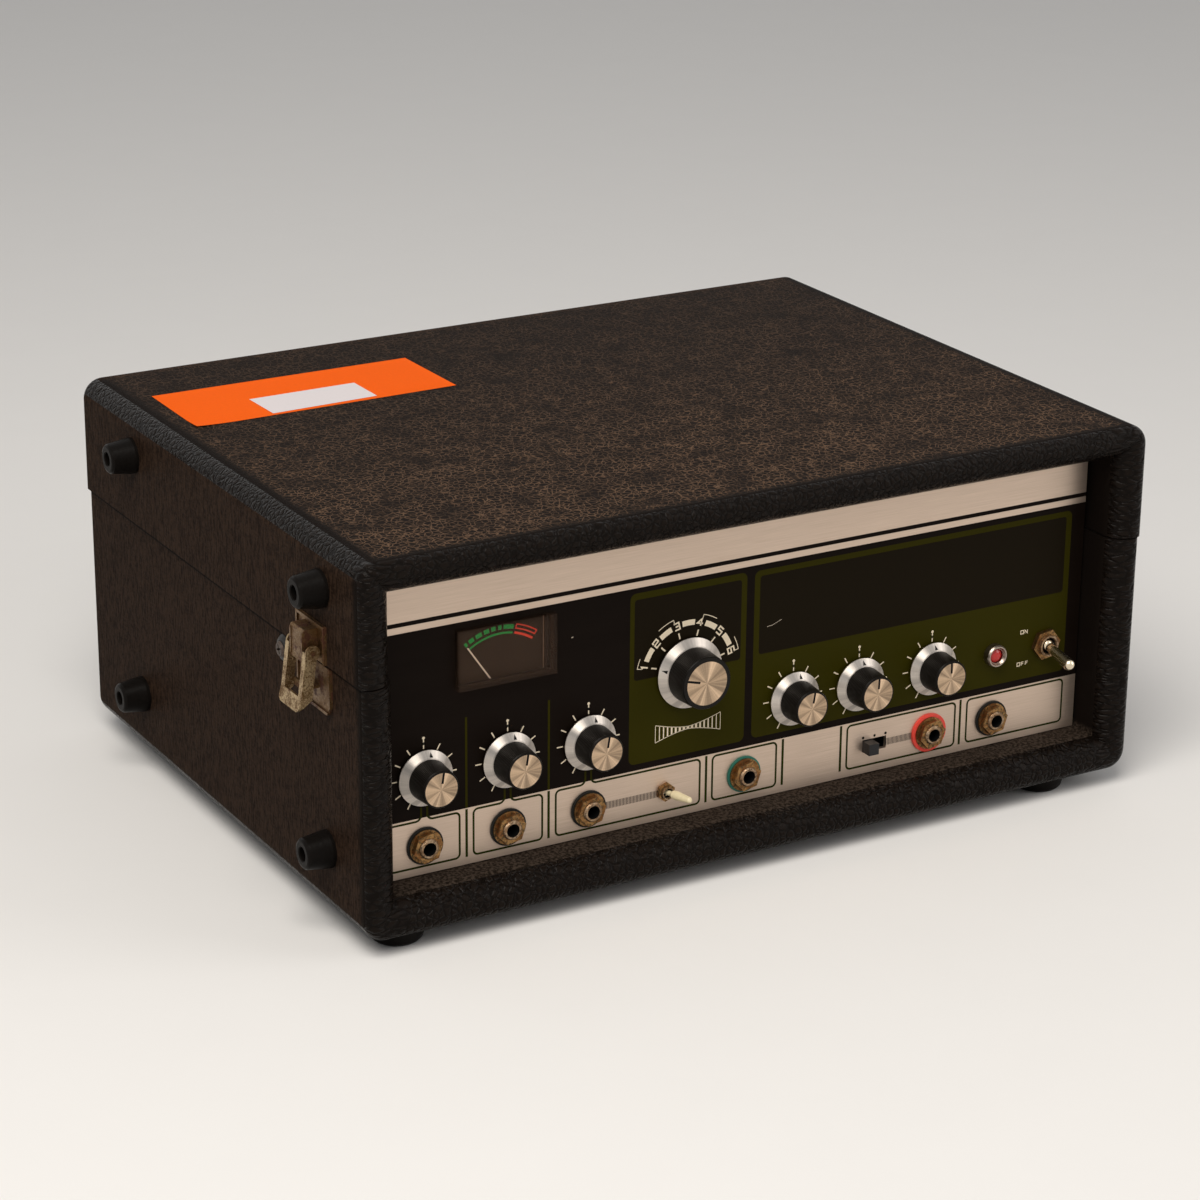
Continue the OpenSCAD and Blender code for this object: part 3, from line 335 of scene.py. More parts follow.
def panel_metal():
    """Brushed aluminium with long streaks across the panel; bands of its height are printed black."""
    material, tree, surface, place = start("panel_metal")
    high = add(tree, "SeparateXYZ", {0: place}).outputs[2]
    streaks = noise(tree, stretched(tree, place, (0.012, 1.0, 1.0)), 3000.0, 3.0, 0.7)
    cloud = noise(tree, stretched(tree, place, (0.1, 1.0, 1.0)), 120.0, 3.0, 0.6)
    bands = []
    for low, top in BLACK_BANDS:
        above = maths(tree, "GREATER_THAN", high, low)
        bands.append(product(tree, above, maths(tree, "LESS_THAN", high, top)))
    printed_black = maths(tree, "MAXIMUM", *bands)
    metal = mix(tree, streaks, (0.43, 0.335, 0.262, 1), (0.76, 0.605, 0.490, 1))
    metal = mix(tree, product(tree, cloud, 0.35), metal, (0.44, 0.335, 0.255, 1))
    ink_black = mix(tree, cloud, (0.0048, 0.0029, 0.0020, 1), (0.0078, 0.0050, 0.0036, 1))
    bare = maths(tree, "SUBTRACT", 1.0, printed_black)
    wire(tree, surface, {
        "Base Color": mix(tree, printed_black, metal, ink_black),
        "Metallic": product(tree, bare, 0.85),
        "Roughness": maths(tree, "MULTIPLY_ADD", streaks, 0.12, 0.34),
        "Anisotropic": 0.5,
        "Tangent": add(tree, "CombineXYZ", {2: 1.0}).outputs[0],
        "Specular IOR Level": 0.03,
        "Normal": raised(tree, product(tree, streaks, bare), 0.00006),
    })
    return material


dress(["front_panel"], panel_metal())

# ---- Print on the panel ----
# Screen-printed inks on the panel's face: green fields with black insets, cream scales and figures, and dark
# green outlines on the bare band. Places on it are (u, v) in millimetres from its middle and the underside.

PANEL_Y = 1000.0 * PANEL_FACE
UNDERSIDE = 8.5
KNOBS = tuple((u, 65.0) for u in (-168.6, -126.7, -85.3, 24.3, 61.0, 102.6))
MODE = (-33.3, 88.9)
CORNER_POINTS = 7
DOT_SIDES = 20
LETTER_PITCH = 1.45
LETTER_GAP = 0.6


def ink(name, colour, roughness=0.5):
    """Printed ink, flat, thinner in tiny spots."""
    return finish(name, colour, roughness, mottle=0.12, grains=2500.0, relief=0.00001, level=0.03)


def rounded_path(u0, u1, v0, v1, r):
    """Points anticlockwise along a rectangle whose corners are quarter circles of radius r."""
    turn = np.linspace(0.0, np.pi / 2.0, CORNER_POINTS)
    corners = ((u1 - r, v1 - r, 0.0), (u0 + r, v1 - r, 0.5), (u0 + r, v0 + r, 1.0), (u1 - r, v0 + r, 1.5))
    return np.concatenate([
        np.column_stack([u + r * np.cos(turn + a * np.pi), v + r * np.sin(turn + a * np.pi)])
        for u, v, a in corners
    ])


def plate(u0, u1, v0, v1, r):
    """A filled rectangle with rounded corners, as one face."""
    return rounded_path(u0, u1, v0, v1, r), [list(range(4 * CORNER_POINTS))]


def ribbon(path, width, closed=False):
    """A line of constant width along a path: each point moves half a width both ways along its mitre."""
    path = np.asarray(path, dtype=float)
    before = np.roll(path, 1, axis=0)
    after = np.roll(path, -1, axis=0)
    if not closed:
        before[0] = 2 * path[0] - path[1]
        after[-1] = 2 * path[-1] - path[-2]
    back = path - before
    ahead = after - path
    back /= np.linalg.norm(back, axis=1)[:, None]
    ahead /= np.linalg.norm(ahead, axis=1)[:, None]
    left = np.column_stack([-(back + ahead)[:, 1], (back + ahead)[:, 0]])
    left /= np.linalg.norm(left, axis=1)[:, None]
    cosine = np.maximum(0.4, -left[:, 0] * back[:, 1] + left[:, 1] * back[:, 0])
    shift = left * (0.5 * width / cosine)[:, None]
    n = len(path)
    last = n if closed else n - 1
    faces = [[n + i, n + (i + 1) % n, (i + 1) % n, i] for i in range(last)]
    return np.concatenate([path + shift, path - shift]), faces


def arc(centre, radius, first, last, steps=24):
    """Points on a circle, from one angle to another in degrees clockwise from the top."""
    turn = np.radians(np.linspace(first, last, steps))
    return np.column_stack([centre[0] + radius * np.sin(turn), centre[1] + radius * np.cos(turn)])


def ticks(centre, angles, inner, outer, width):
    """Short straight marks along the radius at each angle, clockwise from the top."""
    ends = [np.concatenate([arc(centre, r, a, a, 1) for r in (inner, outer)]) for a in angles]
    return [ribbon(path, width) for path in ends]


def dot(centre, radius):
    """A filled disc, as one face."""
    return arc(centre, radius, 360.0, 360.0 / DOT_SIDES, DOT_SIDES), [list(range(DOT_SIDES))]


# Strokes of each figure and letter in a box 1 high
STROKES = {
    "1": [[(0.2, 0.78), (0.45, 1.0), (0.45, 0.0)]],
    "2": [[(0.0, 0.72), (0.0, 1.0), (0.8, 1.0), (0.8, 0.52), (0.0, 0.48), (0.0, 0.0), (0.85, 0.0)]],
    "3": [[(0.0, 1.0), (0.8, 1.0), (0.8, 0.0), (0.0, 0.0)], [(0.2, 0.5), (0.8, 0.5)]],
    "4": [[(0.6, 0.0), (0.6, 1.0), (0.0, 0.35), (0.9, 0.35)]],
    "5": [[(0.8, 1.0), (0.0, 1.0), (0.0, 0.55), (0.8, 0.55), (0.8, 0.0), (0.0, 0.0)]],
    "6": [[(0.8, 1.0), (0.0, 1.0), (0.0, 0.0), (0.8, 0.0), (0.8, 0.52), (0.0, 0.52)]],
    "O": [[(0.0, 0.5), (0.0, 0.0), (0.95, 0.0), (0.95, 1.0), (0.0, 1.0), (0.0, 0.45)]],
    "N": [[(0.0, 0.0), (0.0, 1.0), (0.85, 0.0), (0.85, 1.0)]],
    "F": [[(0.0, 0.0), (0.0, 1.0), (0.8, 1.0)], [(0.0, 0.5), (0.7, 0.5)]],
}


def glyphs(text, middle, height, stroke, turn=0.0):
    """Figures or letters as ribbons, centred on middle and turned clockwise by turn degrees."""
    width = LETTER_PITCH * len(text) - LETTER_GAP
    c = math.cos(math.radians(turn))
    s = math.sin(math.radians(turn))
    made = []
    for k, letter in enumerate(text):
        for path in STROKES[letter]:
            flat = np.asarray(path) + (LETTER_PITCH * k - 0.5 * width, -0.5)
            turned_path = np.column_stack([flat[:, 0] * c + flat[:, 1] * s, flat[:, 1] * c - flat[:, 0] * s])
            made.append(ribbon(np.asarray(middle) + height * turned_path, stroke))
    return made


def piece(name, points, faces, material, body, rounded=False):
    """A new mesh from points in millimetres; it rides on a body and takes a slot's finish."""
    data = bpy.data.meshes.new(name)
    data.from_pydata((np.asarray(points, dtype=float) / 1000.0).tolist(), [], faces)
    data.polygons.foreach_set("use_smooth", np.full(len(data.polygons), rounded))
    data.materials.append(material)
    data.validate()
    made = bpy.data.objects.new(name, data)
    bpy.context.scene.collection.objects.link(made)
    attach(made, body)
    return made


def printed(name, shapes, lift, material):
    """One flat mesh of shapes: x is u, z is v over the underside, and y is lift before the panel's face."""
    points = []
    faces = []
    total = 0
    for flat, polygons in shapes:
        y = np.full(len(flat), PANEL_Y - lift)
        points.append(np.column_stack([flat[:, 0], y, flat[:, 1] + UNDERSIDE]))
        faces += [[total + i for i in polygon] for polygon in polygons]
        total += len(flat)
    return piece(name, np.concatenate(points), faces, material, "case")


green_ink = ink("green_ink", (0.0245, 0.0215, 0.0008), 0.45)
black_ink = ink("black_ink", (0.0085, 0.0058, 0.0026), 0.4)
cream_ink = ink("cream_ink", (0.70, 0.60, 0.45), 0.5)
line_ink = ink("line_ink", (0.018, 0.023, 0.004), 0.45)
figure_ink = ink("figure_ink", (0.012, 0.011, 0.008), 0.45)

printed("print_green_fields", [
    plate(-64.1, -2.3, 48.4, 131.7, 3.0),
    plate(1.8, 182.0, 48.7, 131.3, 3.0),
], 0.03, green_ink)

# Upright lines between the knobs, and the two short ones of each neck from a knob to its jack
DIVIDERS = (-147.5, -105.7)
NECKS = (-168.6, -126.7, -85.2)
NECK_HALF = 1.5
green_lines = [ribbon([(u, 45.3), (u, 89.0)], 1.1) for u in DIVIDERS]
for u in NECKS:
    green_lines += [ribbon([(u + s, 45.3), (u + s, 50.5)], 1.0) for s in (-NECK_HALF, NECK_HALF)]
printed("print_green_lines", green_lines, 0.03, green_ink)

printed("print_black_insets", [
    plate(-61.8, -5.2, 89.5, 128.5, 1.5),
    plate(4.8, 178.8, 90.0, 128.5, 1.5),
], 0.05, black_ink)

# Scales: 300 degrees of ticks with a dotted mark on top, and the selector's six figures with bars between
TICK = 0.62
BOLD = 0.75
BRACKET = 0.35
FIGURE_RING = 23.8
scales = []
for centre in KNOBS:
    scales += ticks(centre, range(-150, 151, 30), 13.2, 16.3, TICK)
    scales.append(ribbon([(centre[0], centre[1] + 15.0), (centre[0], centre[1] + 17.6)], TICK))
    scales.append(dot((centre[0], centre[1] + 18.3), 0.7))
scales += ticks(MODE, range(-75, 76, 30), 17.2, 20.2, BOLD)
for figure, angle in zip("123456", range(-75, 76, 30)):
    scales += glyphs(figure, arc(MODE, FIGURE_RING, angle, angle, 1)[0], 3.3, BOLD, angle)
for angle in range(-60, 61, 30):
    scales.append(ribbon(arc(MODE, FIGURE_RING, angle - 8.0, angle + 8.0), 2.7))
for first, last in ((-77.0, -67.0), (-35.0, -17.0), (17.0, 33.0), (63.0, 77.0)):
    scales.append(ribbon(arc(MODE, 27.6, first, last), BRACKET))
scales += ticks(MODE, (-77.0, -17.0, 17.0, 77.0), 25.4, 27.75, BRACKET)
scales += glyphs("ON", (156.9, 73.2), 1.7, 0.42)
scales += glyphs("OFF", (156.9, 56.7), 1.7, 0.42)
printed("print_scales", scales, 0.07, cream_ink)

# A figure of upright bars, tallest and thinnest at its ends, between two curved lines
BARS = (-32.7, 61.2)
BARS_HALF = 17.4
share = np.linspace(-1.0, 1.0, 33)
half_height = 0.6 + 3.7 * abs(share) ** 1.5
bars = []
for t, h in zip(share[::2], half_height[::2]):
    u = BARS[0] + BARS_HALF * t
    bars.append(ribbon([(u, BARS[1] - h), (u, BARS[1] + h)], 0.3 + 1.1 * (1.0 - abs(t))))
for way in (-1, 1):
    bars.append(ribbon(np.column_stack([BARS[0] + BARS_HALF * share, BARS[1] + way * half_height]), 0.3))
printed("print_bars", bars, 0.06, cream_ink)

# Outlines on the bare band, three of them open at the top with a flare up to their neck
BAND_LOW = 21.8
BAND_TOP = 44.0
FLARE = ((4.0, 0.0), (3.0, 0.3), (2.2, 1.0), (NECK_HALF, 2.0))
outlines = []
for u0, u1 in ((-19.0, 16.0), (55.8, 118.0), (125.0, 182.0)):
    outlines.append(ribbon(rounded_path(u0, u1, BAND_LOW, BAND_TOP, 2.2), 1.0, closed=True))
for u0, u1, neck in zip((-186.0, -144.0, -102.0), (-151.0, -109.0, -25.8), NECKS):
    path = rounded_path(u0, u1, BAND_LOW, BAND_TOP, 2.2)
    right = np.array([(neck + a, BAND_TOP + b) for a, b in FLARE])
    left = np.array([(neck - a, BAND_TOP + b) for a, b in FLARE[::-1]])
    outlines.append(ribbon(np.concatenate([left, path[CORNER_POINTS:], path[:CORNER_POINTS], right]), 1.0))
outlines += [ribbon([(u, 21.5), (u, 44.8)], 1.25) for u in DIVIDERS + (-22.4, 19.6, 52.2, 121.1)]
printed("print_outlines", outlines, 0.04, line_ink)


def comb(first, last, low):
    """Upright strokes 3.5 mm high, 0.36 mm wide and 0.75 mm apart."""
    return [ribbon([(u, low), (u, low + 3.5)], 0.36) for u in np.arange(first, last, 0.75)]


combs = comb(-77.0, -47.9, 29.5) + comb(78.3, 93.1, 29.9) + [dot((u, 36.2), 0.7) for u in (65.0, 71.5, 77.8)]
printed("print_combs", combs, 0.04, figure_ink)

scratch = ink("bare_scratch", (0.45, 0.38, 0.30), 0.4)
printed("panel_scratches", [
    ribbon([(9.0, 103.0), (12.0, 103.3), (14.5, 104.3), (17.0, 105.2)], 0.22),
    ribbon([(-94.4, 116.6), (-93.4, 116.9)], 0.4),
], 0.06, scratch)

# ---- Level meter ----
# A black moulded body behind the panel with a printed dial, a white pointer and a smoked clear window that
# stands out of the panel.

METER = (-128.3, 95.8)


def smoked_window():
    """Thin brown plastic: mostly see-through and tinted, with a little brown haze and a plain reflection."""
    material, tree, surface, place = start("smoked_window")
    haze = noise(tree, place, 300.0, 3.0, 0.6)
    clear = add(tree, "BsdfTransparent", {"Color": (0.96, 0.91, 0.86, 1)}).outputs[0]
    wire(tree, surface, {
        "Base Color": mix(tree, haze, (0.07, 0.044, 0.030, 1), (0.16, 0.105, 0.075, 1)),
        "Roughness": maths(tree, "MULTIPLY_ADD", haze, 0.1, 0.12),
        "Specular IOR Level": 0.3,
    })
    seen = add(tree, "MixShader", {0: 0.10, 1: clear, 2: surface.outputs[0]}).outputs[0]
    tree.links.new(seen, tree.nodes["Material Output"].inputs["Surface"])
    return material


dress(["meter_window"], smoked_window())
dress(["meter_body"], finish("moulded_black", (0.011, 0.009, 0.008), 0.5, mottle=0.3, level=0.2))
dress(["meter_needle"], finish("needle_white", (0.95, 0.93, 0.88), 0.5, mottle=0.03))

DIAL_LIFT = -3.6
MARK_LIFT = DIAL_LIFT + 0.05
LINE_RING = 28.0
BLOCK_RING = 30.8
GREEN_BLOCKS = ((-35.0, 2.5), (-30.5, 5.0), (-23.5, 6.0), (-15.5, 5.0), (-8.5, 4.0), (-2.0, 3.0), (3.0, 9.5))
dial_paper = ink("dial_print", (0.026, 0.019, 0.015), 0.6)
dial_frame = ink("dial_frame", (0.30, 0.22, 0.16), 0.4)
dial_green = ink("dial_green", (0.02, 0.42, 0.10), 0.5)
dial_red = ink("dial_red", (0.95, 0.09, 0.06), 0.5)
dial_face = [plate(METER[0] - 22.8, METER[0] + 22.8, 99.8, 131.8, 0.5)]
printed("meter_dial", dial_face, DIAL_LIFT, dial_paper)
frame_path = rounded_path(METER[0] - 21.6, METER[0] + 21.6, 101.2, 130.4, 0.4)
printed("dial_border", [ribbon(frame_path, 0.3, closed=True)], MARK_LIFT, dial_frame)
green_marks = [ribbon(arc(METER, LINE_RING, -34.5, 12.5), 0.9)]
for angle, width in GREEN_BLOCKS:
    green_marks.append(ribbon(arc(METER, BLOCK_RING, angle, angle + width, 6), 2.0))
printed("dial_green_bands", green_marks, MARK_LIFT, dial_green)
red_marks = []
for ring, width in ((LINE_RING, 1.1), (30.1, 0.6), (32.0, 0.6)):
    red_marks.append(ribbon(arc(METER, ring, 14.5, 35.0), width))
red_marks += ticks(METER, (14.8, 34.7), 30.0, 32.2, 0.6)
printed("dial_red_bands", red_marks, MARK_LIFT, dial_red)

# ---- Knobs ----
# Spun aluminium skirts with a printed pointer, turned black bodies and a spun cap let into the face, cut
# with a black line. Each is pressed on its shaft.

RING_PITCH = 0.0009
SKIRT_TOP = 0.00472
LINE_FLOOR = 0.01650
CAP_FACE = 0.01695
SMALL_CAP = 0.00812
LARGE_CAP = 0.01072


def spun(name, centre, colour, between, roughness):
    """Metal turned about the knob's axis: fine rings, and spokes, partly streaks and partly painted
    highlight, with that share of the colour between.
    """
    material, tree, surface, place = start(name)
    apart = add(tree, "VectorMath", {0: place, 1: centre}, operation="SUBTRACT").outputs[0]
    outward = add(tree, "VectorMath", {0: apart, 1: (1.0, 0.0, 1.0)}, operation="MULTIPLY").outputs[0]
    outward = add(tree, "VectorMath", {0: outward}, operation="NORMALIZE").outputs[0]
    to_world = {"vector_type": "VECTOR", "convert_from": "OBJECT", "convert_to": "WORLD"}
    tangent = add(tree, "VectorTransform", {0: outward}, **to_world).outputs[0]
    reach = add(tree, "VectorMath", {0: apart}, operation="LENGTH").outputs["Value"]
    rings = noise(tree, add(tree, "CombineXYZ", {0: reach}).outputs[0], 5000.0, 2.0, 0.7)
    # Bright and dim wedges round the axis: partly spun streaks, partly a painted bow-tie highlight.
    spokes = smooth(tree, noise(tree, outward, 2.6, 3.0, 0.6), 0.35, 0.65)
    share = maths(tree, "MULTIPLY_ADD", spokes, 0.6, product(tree, rings, 0.4))
    dim_wedge_colour = tuple(c * between for c in colour) + (1.0,)
    wire(tree, surface, {
        "Base Color": mix(tree, share, dim_wedge_colour, colour + (1.0,)),
        "Metallic": 1.0,
        "Roughness": maths(tree, "MULTIPLY_ADD", rings, 0.1, roughness),
        "Anisotropic": 0.96,
        "Tangent": tangent,
    })
    return material


def turned_black():
    """Glossy black plastic, its side turned in rings: a sine along the knob's axis."""
    material, tree, surface, place = start("knob_black")
    deep = add(tree, "SeparateXYZ", {0: place}).outputs[1]
    rings = maths(tree, "SINE", product(tree, deep, 2.0 * math.pi / RING_PITCH))
    spots = noise(tree, place, 1800.0, 3.0, 0.6)
    wire(tree, surface, {
        "Base Color": mix(tree, spots, (0.0045, 0.0036, 0.0030, 1), (0.0080, 0.0064, 0.0052, 1)),
        "Roughness": maths(tree, "MULTIPLY_ADD", spots, 0.1, 0.26),
        "Normal": raised(tree, rings, 0.00004),
        "Specular IOR Level": 0.12,
    })
    return material


def pointer(centre, turn, inner, outer):
    """A triangle printed on a knob's skirt, its tip outward; inner and outer are (radius, height)."""
    c = math.cos(math.radians(turn))
    s = math.sin(math.radians(turn))
    u, v = centre
    spots = [(outer[0], 0.0, outer[1]), (inner[0], 0.85, inner[1]), (inner[0], -0.85, inner[1])]
    return [(u + r * s + w * c, PANEL_Y - h, v + UNDERSIDE + r * c - w * s) for r, w, h in spots]


def from_axis(middles, x, z):
    """Each middle's distance from the line that runs front to back through x and z."""
    return np.hypot(middles[:, 0] - x, middles[:, 2] - z)


knob_black = turned_black()
knob_line = finish("knob_line", (0.006, 0.005, 0.005), 0.6, level=0.1)
small_pointer = ((10.5, 4.5), (12.5, 2.8))
large_pointer = ((14.0, 4.55), (16.2, 2.85))
for name, body, spot, turn, cap, ends in (
        ("mic_1", "control_mic_1", KNOBS[0], 9, SMALL_CAP, small_pointer),
        ("mic_2", "control_mic_2", KNOBS[1], 9, SMALL_CAP, small_pointer),
        ("instrument", "control_instrument", KNOBS[2], 9, SMALL_CAP, small_pointer),
        ("repeat_rate", "control_repeat_rate", KNOBS[3], 9, SMALL_CAP, small_pointer),
        ("intensity", "control_intensity", KNOBS[4], 2, SMALL_CAP, small_pointer),
        ("echo_volume", "control_echo_volume", KNOBS[5], -1, SMALL_CAP, small_pointer),
        ("mode", "mode_selector", MODE, -75, LARGE_CAP, large_pointer)):
    centre = (spot[0] / 1000.0, PANEL_FACE, (spot[1] + UNDERSIDE) / 1000.0)
    middles = face_vectors("knob_" + name)
    reach = from_axis(middles, centre[0], centre[2])
    out = PANEL_FACE - middles[:, 1]
    choice = np.where(out < SKIRT_TOP, 0, 1)
    choice[(reach < cap) & (out > CAP_FACE)] = 2
    choice[(reach < cap - 0.0001) & (out > LINE_FLOOR) & (out < CAP_FACE)] = 3
    skirt = spun("spun_skirt_" + name, centre, (0.92, 0.84, 0.76), 0.50, 0.42)
    cap_metal = spun("spun_cap_" + name, centre, (0.76, 0.55, 0.37), 0.28, 0.34)
    share_out("knob_" + name, [skirt, knob_black, cap_metal, knob_line], choice)
    piece("pointer_" + name, pointer(spot, turn, *ends), [[0, 1, 2]], knob_line, body)

# ---- Jacks and what is behind the panel ----
# Nickelled jack bushings with a tarnished brass washer and nut over a fibre washer, and plated pots and
# switches, all clamped to the panel by their nuts.


def tarnished_brass(name, clean, brown, dark):
    """Brass gone brown and dark in patches, rougher where it has."""
    material, tree, surface, place = start(name)
    patches = smooth(tree, noise(tree, place, 260.0, 4.0, 0.7), 0.38, 0.62)
    spots = smooth(tree, noise(tree, place, 900.0, 4.0, 0.7), 0.45, 0.65)
    colour = mix(tree, spots, mix(tree, patches, clean + (1.0,), brown + (1.0,)), dark + (1.0,))
    wire(tree, surface, {
        "Base Color": colour,
        "Metallic": maths(tree, "MULTIPLY_ADD", spots, -0.3, 1.0),
        "Roughness": maths(tree, "MULTIPLY_ADD", patches, 0.15, 0.30),
        "Normal": raised(tree, spots, 0.00006),
    })
    return material


plated = finish("plated_steel", (0.50, 0.45, 0.38), 0.3, metallic=1.0, mottle=0.25)
nut_brass = tarnished_brass("nut_brass", (0.33, 0.19, 0.075), (0.20, 0.088, 0.032), (0.055, 0.040, 0.016))
bush_nickel = tarnished_brass("bush_nickel", (0.40, 0.29, 0.19), (0.24, 0.14, 0.075), (0.09, 0.055, 0.03))
hollow = finish("hollow_black", (0.004, 0.004, 0.004), 0.6, level=0.1)
phenolic = finish("phenolic", (0.19, 0.085, 0.03), 0.5, mottle=0.2)
dress(["pots", "motor"], plated)
dress(["panel_nuts", "motor_pulley"], nut_brass)

JACKS_X = (-0.1686, -0.1267, -0.0852, -0.0020, 0.1026, 0.1393)
JACKS_Z = 0.0403
POWER_SWITCH = (0.1695, 0.0735)
ECHO_SWITCH_X = -0.0445
SLOT_X = 0.0715
SLOT_HALF = (0.00855, 0.0033)
WAFERS = (0.0203, 0.0303)
WAFER_ROOM = 0.0018


def front_and_bore(name, x, z, bore):
    """Gives a node black bores about each x and z, tarnished nickel before the panel and plate behind it."""
    middles = face_vectors(name)
    reach = np.min([from_axis(middles, a, z) for a in x], axis=0)
    ahead = middles[:, 1] < PANEL_FACE
    share_out(name, [hollow, bush_nickel, plated], np.where(reach < bore, 0, np.where(ahead, 1, 2)))


front_and_bore("jacks", JACKS_X, JACKS_Z, 0.00325)
front_and_bore("power_switch", POWER_SWITCH[:1], POWER_SWITCH[1], 0.0039)
front_and_bore("echo_switch", (ECHO_SWITCH_X,), JACKS_Z, 0.0021)
slide = face_vectors("output_switch")
in_slot = abs(slide[:, [0, 2]] - (SLOT_X, JACKS_Z)) < SLOT_HALF
share_out("output_switch", [plated, hollow], in_slot.all(axis=1))
behind = face_vectors("mode_switch")[:, 1] - PANEL_FACE
on_wafer = np.any([(behind > first) & (behind < first + WAFER_ROOM) for first in WAFERS], axis=0)
share_out("mode_switch", [plated, phenolic], on_wafer)

# One fibre washer to a jack: black, but green at the fourth and red at the fifth
fibre = [
    finish("fibre_black", (0.009, 0.009, 0.008), 0.6, level=0.2),
    finish("fibre_green", (0.006, 0.12, 0.085), 0.55),
    finish("fibre_red", (0.75, 0.055, 0.035), 0.5),
]
fibre_at_jack = np.array([0, 0, 0, 1, 2, 0])
washer_x = face_vectors("jack_washers")[:, :1]
share_out("jack_washers", fibre, fibre_at_jack[np.argmin(abs(washer_x - JACKS_X), axis=1)])

# ---- Switch levers and the pilot lamp ----
# A plated bat lever, an ivory plastic lever and a black slider, each held in its switch, and a red lens
# pressed into a chromed bezel.

LAMP = (0.139, 0.0735)
LENS_RADIUS = 0.00362
LENS_BACK = -0.1285
lever_metal = finish("lever_metal", (0.74, 0.64, 0.48), 0.24, metallic=1.0, mottle=0.25, grains=300.0)
ivory = finish("ivory", (0.72, 0.62, 0.40), 0.35, mottle=0.1)
slider_black = finish("slider_black", (0.007, 0.007, 0.008), 0.4, level=0.3)
lens = finish("red_lens", (0.42, 0.010, 0.008), 0.12, mottle=0.2)
bezel = finish("bezel_chrome", (0.36, 0.30, 0.25), 0.3, metallic=1.0, mottle=0.3)
dress(["power_lever"], lever_metal)
dress(["echo_lever"], ivory)
dress(["output_slider"], slider_black)
lamp_middles = face_vectors("pilot_lamp")
on_lens = (from_axis(lamp_middles, *LAMP) < LENS_RADIUS) & (lamp_middles[:, 1] < LENS_BACK)
share_out("pilot_lamp", [bezel, lens], on_lens)

# ---- Tape deck ----
# A black deck plate with machined guides, five heads in a row, a steel capstan and flywheel and a grey tank
# with a clear cover that the loose tape lies in.


def clear_cover():
    """Clear plastic sheet: see-through, with a plain reflection and fine scuffs."""
    material, tree, surface, place = start("clear_cover")
    scuffs = noise(tree, stretched(tree, place, (1.0, 0.1, 1.0)), 900.0, 4.0, 0.7)
    clear = add(tree, "BsdfTransparent", {"Color": (0.93, 0.95, 0.95, 1)}).outputs[0]
    wire(tree, surface, {
        "Base Color": mix(tree, scuffs, (0.16, 0.17, 0.17, 1), (0.5, 0.52, 0.52, 1)),
        "Roughness": maths(tree, "MULTIPLY_ADD", scuffs, 0.15, 0.05),
    })
    seen = add(tree, "MixShader", {0: 0.12, 1: clear, 2: surface.outputs[0]}).outputs[0]
    tree.links.new(seen, tree.nodes["Material Output"].inputs["Surface"])
    return material


deck_paint = finish("deck_paint", (0.022, 0.023, 0.024), 0.5, mottle=0.25, relief=0.0001)
zinc_sheet = finish("zinc_sheet", (0.50, 0.49, 0.44), 0.42, metallic=1.0, mottle=0.25, grains=150.0)
machined = finish("machined_alloy", (0.72, 0.71, 0.69), 0.35, metallic=1.0, mottle=0.1)
bright = finish("bright_steel", (0.66, 0.65, 0.63), 0.22, metallic=1.0, mottle=0.1)
brushed = finish("brushed_plate", (0.38, 0.36, 0.33), 0.45, metallic=1.0, mottle=0.2, grains=400.0)
dress(["deck_plate"], deck_paint)
dress(["chassis"], zinc_sheet)
dress(["head_base"], machined)
dress(["rear_plate"], brushed)
dress(["heads", "capstan", "pinch_arm"], bright)
dress(["tape_tank"], finish("tank_grey", (0.035, 0.036, 0.037), 0.5, mottle=0.2))
dress(["tank_cover"], clear_cover())
dress(["tape_loop"], finish("tape_brown", (0.115, 0.050, 0.022), 0.3, mottle=0.1))

# ---- Transformer and circuit board ----
# Varnished laminations round a paper-wrapped winding, bolted to the chassis, and a phenolic board on posts
# with blue cans and black parts.

WINDING = (0.118, 0.0555)
WINDING_HALF = (0.01552, 0.01352)
BOARD_TOP = 0.04113
BOX_TOP = 0.0462
BOXES_BACK = -0.0062
laminations = finish("laminations", (0.045, 0.040, 0.036), 0.45, metallic=0.6, mottle=0.3)
winding_paper = finish("winding_paper", (0.42, 0.24, 0.07), 0.6, mottle=0.2)
board = finish("board_phenolic", (0.20, 0.14, 0.045), 0.5, mottle=0.15)
cans = finish("can_blue", (0.012, 0.035, 0.12), 0.35, mottle=0.1)
parts_black = finish("part_black", (0.012, 0.012, 0.012), 0.45)
core = face_vectors("transformer")
in_winding = abs(core[:, [0, 2]] - WINDING) < WINDING_HALF
share_out("transformer", [laminations, winding_paper], in_winding.all(axis=1))
board_middles = face_vectors("circuit_board")
above = board_middles[:, 2] > BOARD_TOP
box_like = above & (board_middles[:, 2] < BOX_TOP) & (board_middles[:, 1] > BOXES_BACK)
share_out("circuit_board", [board, cans, parts_black], np.where(box_like, 2, np.where(above, 1, 0)))

# ---- Label on the lid ----
# A plain orange paper label stuck on the lid, its front left corner lifted, with a small white one stuck
# over its front edge.

ORANGE_CORNERS = ((-190.6, 54.8), (-51.9, 57.6), (-52.7, 111.4), (-189.8, 111.1))
WHITE_CORNERS = ((-149.9, 57.9), (-93.8, 60.0), (-94.1, 84.8), (-150.6, 84.0))


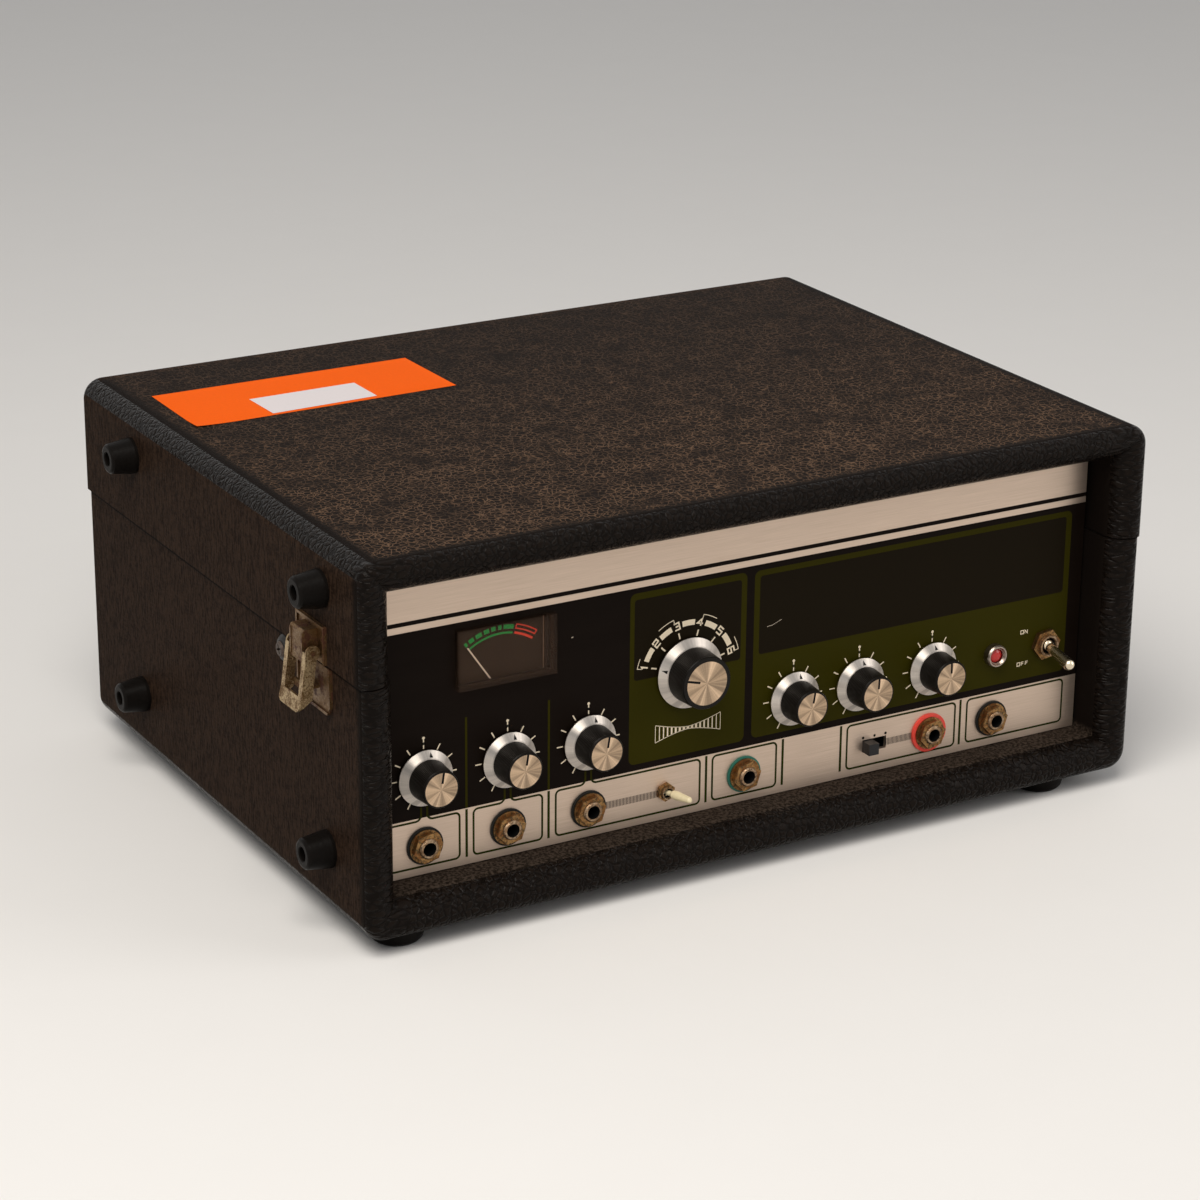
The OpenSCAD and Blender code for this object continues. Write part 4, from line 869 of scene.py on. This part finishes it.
def sheet_points(corners, lift, steps):
    """A flat four-cornered sheet as a grid, its height above the lid given by lift of the two shares."""
    u, v = np.meshgrid(np.linspace(0, 1, steps), np.linspace(0, 1, steps), indexing="ij")
    a, b, c, d = (np.asarray(p, dtype=float) for p in corners)
    flat = ((1 - u) * (1 - v))[..., None] * a + (u * (1 - v))[..., None] * b
    flat = flat + (u * v)[..., None] * c + ((1 - u) * v)[..., None] * d
    high = 1000.0 * LID_TOP + lift(u, v)
    points = np.concatenate([flat, high[..., None]], axis=2).reshape(-1, 3)
    cell = np.arange((steps - 1) * steps).reshape(steps - 1, steps)[:, :-1].ravel()
    faces = np.stack([cell, cell + steps, cell + steps + 1, cell + 1], axis=1)
    return points, faces.tolist()


def curled(u, v):
    """Lies 0.08 mm high, and rises 0.7 mm with the square of the nearness to the first corner."""
    return 0.08 + 0.7 * np.clip(1.0 - 6.0 * u - 3.5 * v, 0.0, 1.0) ** 2


def level_sheet(u, v):
    """Lies 0.18 mm high all over."""
    return np.full(u.shape, 0.18)


orange = finish("orange_paper", (0.85, 0.112, 0.002), 0.6, mottle=0.06, grains=600.0, relief=0.00003,
                level=0.04)
white = finish("white_paper", (0.67, 0.62, 0.63), 0.55, mottle=0.04, grains=600.0, relief=0.00002)
for name, corners, lift, steps, paper in (
        ("label_orange", ORANGE_CORNERS, curled, 41, orange),
        ("label_white", WHITE_CORNERS, level_sheet, 5, white)):
    points, faces = sheet_points(corners, lift, steps)
    piece(name, points, faces, paper, "lid", rounded=True)

# ---- Floor, light and camera ----
# A plain pale floor under a white sky, one large soft light above the front left and a weaker one at the
# right. The camera stands where the photograph was taken from.

floor_paper = finish("floor_paper", (0.80, 0.79, 0.78), 0.8, mottle=0.01, grains=20.0, relief=0.0)
floor_points = [(-6.0, -6.0, 0.0), (6.0, -6.0, 0.0), (6.0, 6.0, 0.0), (-6.0, 6.0, 0.0)]
floor_mesh = bpy.data.meshes.new("floor")
floor_mesh.from_pydata(floor_points, [], [[0, 1, 2, 3]])
floor_mesh.materials.append(floor_paper)
floor = bpy.data.objects.new("floor", floor_mesh)
bpy.context.scene.collection.objects.link(floor)

world = bpy.data.worlds.new("studio")
bpy.context.scene.world = world
world.use_nodes = True
sky = world.node_tree
rays = add(sky, "LightPath").outputs
straight = maths(sky, "MAXIMUM", rays["Is Camera Ray"], rays["Is Transmission Ray"])
straight = maths(sky, "MAXIMUM", straight, rays["Is Glossy Ray"])
shade = mix(sky, straight, (0.30, 0.30, 0.30, 1), (0.85, 0.84, 0.83, 1))
wire(sky, sky.nodes["Background"], {"Color": shade, "Strength": 1.0})


def soft_light(name, place, aim, size, power, colour):
    """A square area light at place, turned to face aim."""
    data = bpy.data.lights.new(name, "AREA")
    data.size = size
    data.energy = power
    data.color = colour
    made = bpy.data.objects.new(name, data)
    bpy.context.scene.collection.objects.link(made)
    made.location = place
    made.rotation_euler = (made.location - aim).to_track_quat("Z", "Y").to_euler()


middle = (cad_bounds[0] + cad_bounds[1]) / 2.0
soft_light("key", (-0.9, -0.9, 1.9), middle, 1.4, 44.0, (1.0, 0.95, 0.88))
soft_light("fill", (1.6, -1.4, 0.9), middle, 1.2, 11.0, (1.0, 0.97, 0.94))

CAMERA_PLACE = (-0.803565, -1.384087, 0.680790)
CAMERA_TURN = (69.50228, -0.47495, -29.87031)
camera_data = bpy.data.cameras.new("camera")
camera_data.sensor_width = 36.0
camera_data.lens = 104.0
camera = bpy.data.objects.new("camera", camera_data)
bpy.context.scene.collection.objects.link(camera)
camera.location = CAMERA_PLACE
camera.rotation_euler = [math.radians(angle) for angle in CAMERA_TURN]
bpy.context.scene.camera = camera
bpy.context.scene.view_settings.view_transform = "Standard"
